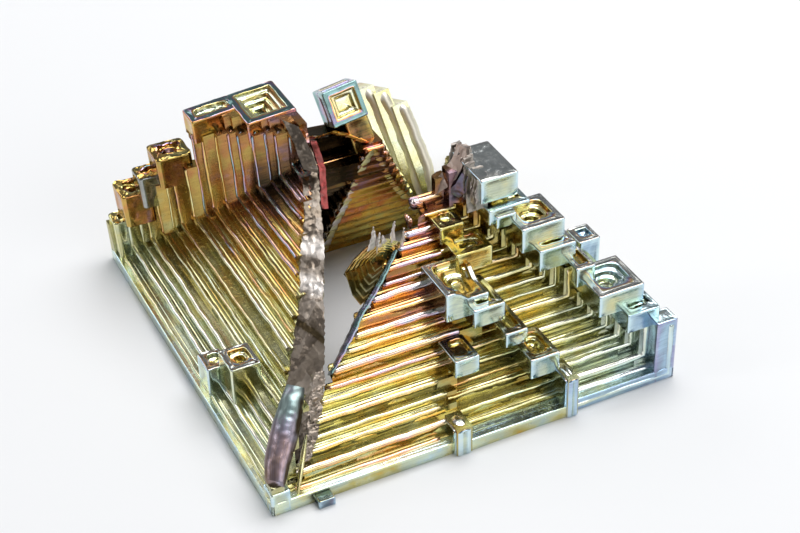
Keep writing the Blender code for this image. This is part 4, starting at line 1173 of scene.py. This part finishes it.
def knobbly_ridge(piece, path, count, size, film, tone, highlight_spots, seed):
    """A ridge of small steps: round sections whose radius falls along each step by a share of it and then jumps back.

    The tone adds a painted highlight, a bell curve of the share of the length, at each given share, and paints
    each step paler where it starts and is widest, as highlight.
    """
    share = np.linspace(0, 1, 16 * count)[:, None]
    along = (share * count) % 1.0
    ends = np.sqrt(np.clip(np.minimum(share, 1 - share) / 0.02, 0.05, 1))
    radius = size * (1.15 - 0.5 * along + 0.15 * ripple(share * 9, seed, 4.0)) * ends
    ring = leaning_ring(16)
    rows = along_line(path, 16 * count)[:, None] + ring * radius[..., None]
    rows = rows + 0.05 * grain(rows, 0.5, seed + 1)[..., None] * ring
    # Painted highlights at the given shares and at each step's wide start
    shades = tone + sum(bell(share, spot, 0.03) for spot in highlight_spots) + 0.25 * (1 - along)
    piece.add(rows, film + 0.03 * grain(rows, 1.1, seed + 2), 2 * rows, shades)


def wall_ridges():
    """The knobbly golden ridges on both sides of the rear wall, and the rear left sheet's lumpy copper top edge."""
    piece = Piece("rear_wall_ridges")
    knobbly_ridge(piece, RIDGE_LEFT, 14, 0.42, OLIVE, 0.1, (0.1, 0.28, 0.42, 0.56), 501)
    knobbly_ridge(piece, RIDGE_RIGHT, 11, 0.36, GOLD, -0.1, (0.35,), 511)
    piece.finish(WALL_METAL)
    piece = Piece("rear_wall_edge")
    knobbly_ridge(piece, WALL_EDGE, 7, 0.34, BRONZE + 0.01, -0.15, (0.2,), 521)
    piece.finish(WALL_METAL)


def tilted(foot):
    """The turn from a rear grain's own axes to the crystal's: X then Y rotations by its tilt, about its foot."""
    about_x, about_y = np.radians(REAR_TILT)
    turn_x = np.array([[1, 0, 0], [0, np.cos(about_x), -np.sin(about_x)], [0, np.sin(about_x), np.cos(about_x)]])
    turn_y = np.array([[np.cos(about_y), 0, np.sin(about_y)], [0, 1, 0], [-np.sin(about_y), 0, np.cos(about_y)]])
    turn = turn_y @ turn_x
    return lambda points: points @ turn.T + np.array(foot)


def rear_knob():
    """The cube on the rear wall's apex, with a stepped pit in its top and another in its front."""
    stand = tilted(KNOB_FOOT)

    def facing(points):
        return stand(vectors(points[..., 0], -points[..., 2], points[..., 1]))

    rows = (
        ((-1.8, 1.8, -0.3, 1.6, -0.6, 2.9), 1, 0.5, {}),
        ((-1.8, 1.8, -0.6, 2.9, -0.4, 1.6), 3, 0.5, dict(turn=facing, depth=0.4)),
        ((-0.6, 1.7, -1.2, 1.2, -3.8, -0.5), 0, 0.5, dict(wall=(COPPER, BRONZE), top=GOLD, tint=-0.6)),
    )
    blocks("rear_knob", BLOCK_METAL, 101, rows, turn=stand, wall=(TEAL, TEAL), top=TEAL, pit=(OLIVE, PALE_GOLD))


def rear_curtain():
    """Upright ribs behind the right fin, each a rounded column that bows to the right as it comes down."""
    piece = Piece("rear_curtain")
    stand = tilted(CURTAIN_FOOT)
    angle = circle(24)
    share = np.linspace(0, 1, 40)[:, None]
    size = 0.25 + 0.75 * np.sqrt(np.clip((1 - share) / 0.07, 0, 1))
    for number, top in enumerate(CURTAIN_TOPS):
        bow = 0.35 * np.sin(np.pi * share) + 0.1 * ripple(share * 10, 110 + number, 4.0)
        across = 2.6 - 1.15 * number + bow + 0.85 * size * np.cos(angle)
        deep = -0.85 + 0.7 * number + 0.8 * size * np.sin(angle) + 0.2 * size * np.cos(2 * angle)
        points = vectors(across, deep, -1.0 + (top + 1.0) * share)
        film = PALE_GOLD + 0.01 * ripple(share * 8, 120 + number) + 0.11 * smooth(share * 3 - 1.5) * (number > 2)
        # Painted light: each column pale, paler on one side as a highlight, and a little darker near its foot as shade
        tone = 0.42 + 0.4 * np.cos(angle - 4.2) - 0.5 * smooth(0.25 - share)
        piece.add(stand(points), film, (share * 12, angle, number), tone)
    return piece.finish(CURTAIN_METAL)


def top_slab():
    """The slab on the left fin: two blocks side by side, one with a round pit and one with a long stepped pit."""
    rows = (
        ((7.6, 11.9, 32.6, 35.2, 16.6, 19.0), 3, 0.6, dict(bore=1.3)),
        ((11.6, 16.2, 29.4, 35.2, 16.4, 19.0), 4, 0.6, {}),
    )
    films = dict(wall=(BRONZE, COPPER), pit=(PALE_GOLD, MINT), top=TEAL)
    blocks("top_slab", BLOCK_METAL, 111, rows, turn=leant, wear=0.1, shine=0.1, **films)


# ---------------------------------------------------------------- stage

CAMERA_PLACE = (-36.6, -104.5, 107.25)
CAMERA_RIGHT = (0.89778, -0.43990, -0.02208)
CAMERA_UP = (0.27723, 0.52543, 0.80440)
LENS = 81.0
SENSOR = 36.0
FLOOR_HALF = 3.0


def camera():
    """The camera, from its place in the crystal's millimetres and its own right and up directions."""
    data = bpy.data.cameras.new("camera")
    data.lens = LENS
    data.sensor_width = SENSOR
    data.clip_start = 0.001
    data.clip_end = 10.0
    thing = linked("camera", data)
    right, up = Vector(CAMERA_RIGHT), Vector(CAMERA_UP)
    turn = Matrix((right, up, right.cross(up))).transposed()
    thing.matrix_world = Matrix.Translation(Vector(place(CAMERA_PLACE))) @ turn.to_4x4()
    bpy.context.scene.camera = thing


def floor():
    """A plain white sheet, wide and flat."""
    corners = [(x * FLOOR_HALF, y * FLOOR_HALF, 0) for x, y in ((-1, -1), (1, -1), (1, 1), (-1, 1))]
    mesh = bpy.data.meshes.new("floor")
    mesh.from_pydata(corners, [], [(0, 1, 2, 3)])
    material = bpy.data.materials.new("white_sheet")
    material.use_nodes = True
    shader = material.node_tree.nodes["Principled BSDF"]
    shader.inputs["Base Color"].default_value = (0.83, 0.835, 0.845, 1.0)
    shader.inputs["Roughness"].default_value = 0.9
    shader.inputs["Specular IOR Level"].default_value = 0.0
    mesh.materials.append(material)
    linked("floor", mesh)


def softbox(name, spot, size, power):
    """A rectangular lamp that faces the crystal."""
    data = bpy.data.lights.new(name, "AREA")
    data.shape = "RECTANGLE"
    data.size, data.size_y = size
    data.energy = power
    thing = linked(name, data)
    thing.location = spot
    thing.rotation_mode = "QUATERNION"
    thing.rotation_quaternion = (-Vector(spot)).to_track_quat("-Z", "Y")


def studio():
    """Soft light all round, one wide box overhead, and dimmer ones in front, on the left and behind."""
    world = bpy.data.worlds.new("studio")
    world.use_nodes = True
    world.node_tree.nodes["Background"].inputs["Color"].default_value = (0.93, 0.96, 1.0, 1.0)
    world.node_tree.nodes["Background"].inputs["Strength"].default_value = 0.23
    bpy.context.scene.world = world
    softbox("overhead_box", (0.14, 0.06, 0.40), (0.40, 0.34), 1.80)
    softbox("front_box", (0.16, -0.36, 0.26), (0.30, 0.16), 0.30)
    softbox("left_box", (-0.38, 0.10, 0.20), (0.06, 0.30), 0.25)
    softbox("back_box", (-0.14, 0.40, 0.28), (0.36, 0.16), 0.30)
    softbox("low_box", (0.16, -0.42, 0.13), (0.50, 0.10), 0.20)
    bpy.context.scene.view_settings.view_transform = "Standard"
    bpy.context.scene.view_settings.exposure = 0.0


PARTS = (camera, floor, studio, crystal_body, front_sheets, rear_sheets, right_fin_blocks, ridge_blocks)
PARTS += (left_fin_blocks, base_rim, left_break, front_post, front_blade, sheet_edge, right_breaks, torn_flakes)
PARTS += (shard, shard_spikes, rear_wall, wall_ridges, rear_knob, rear_curtain, top_slab)
for make in PARTS:
    make()
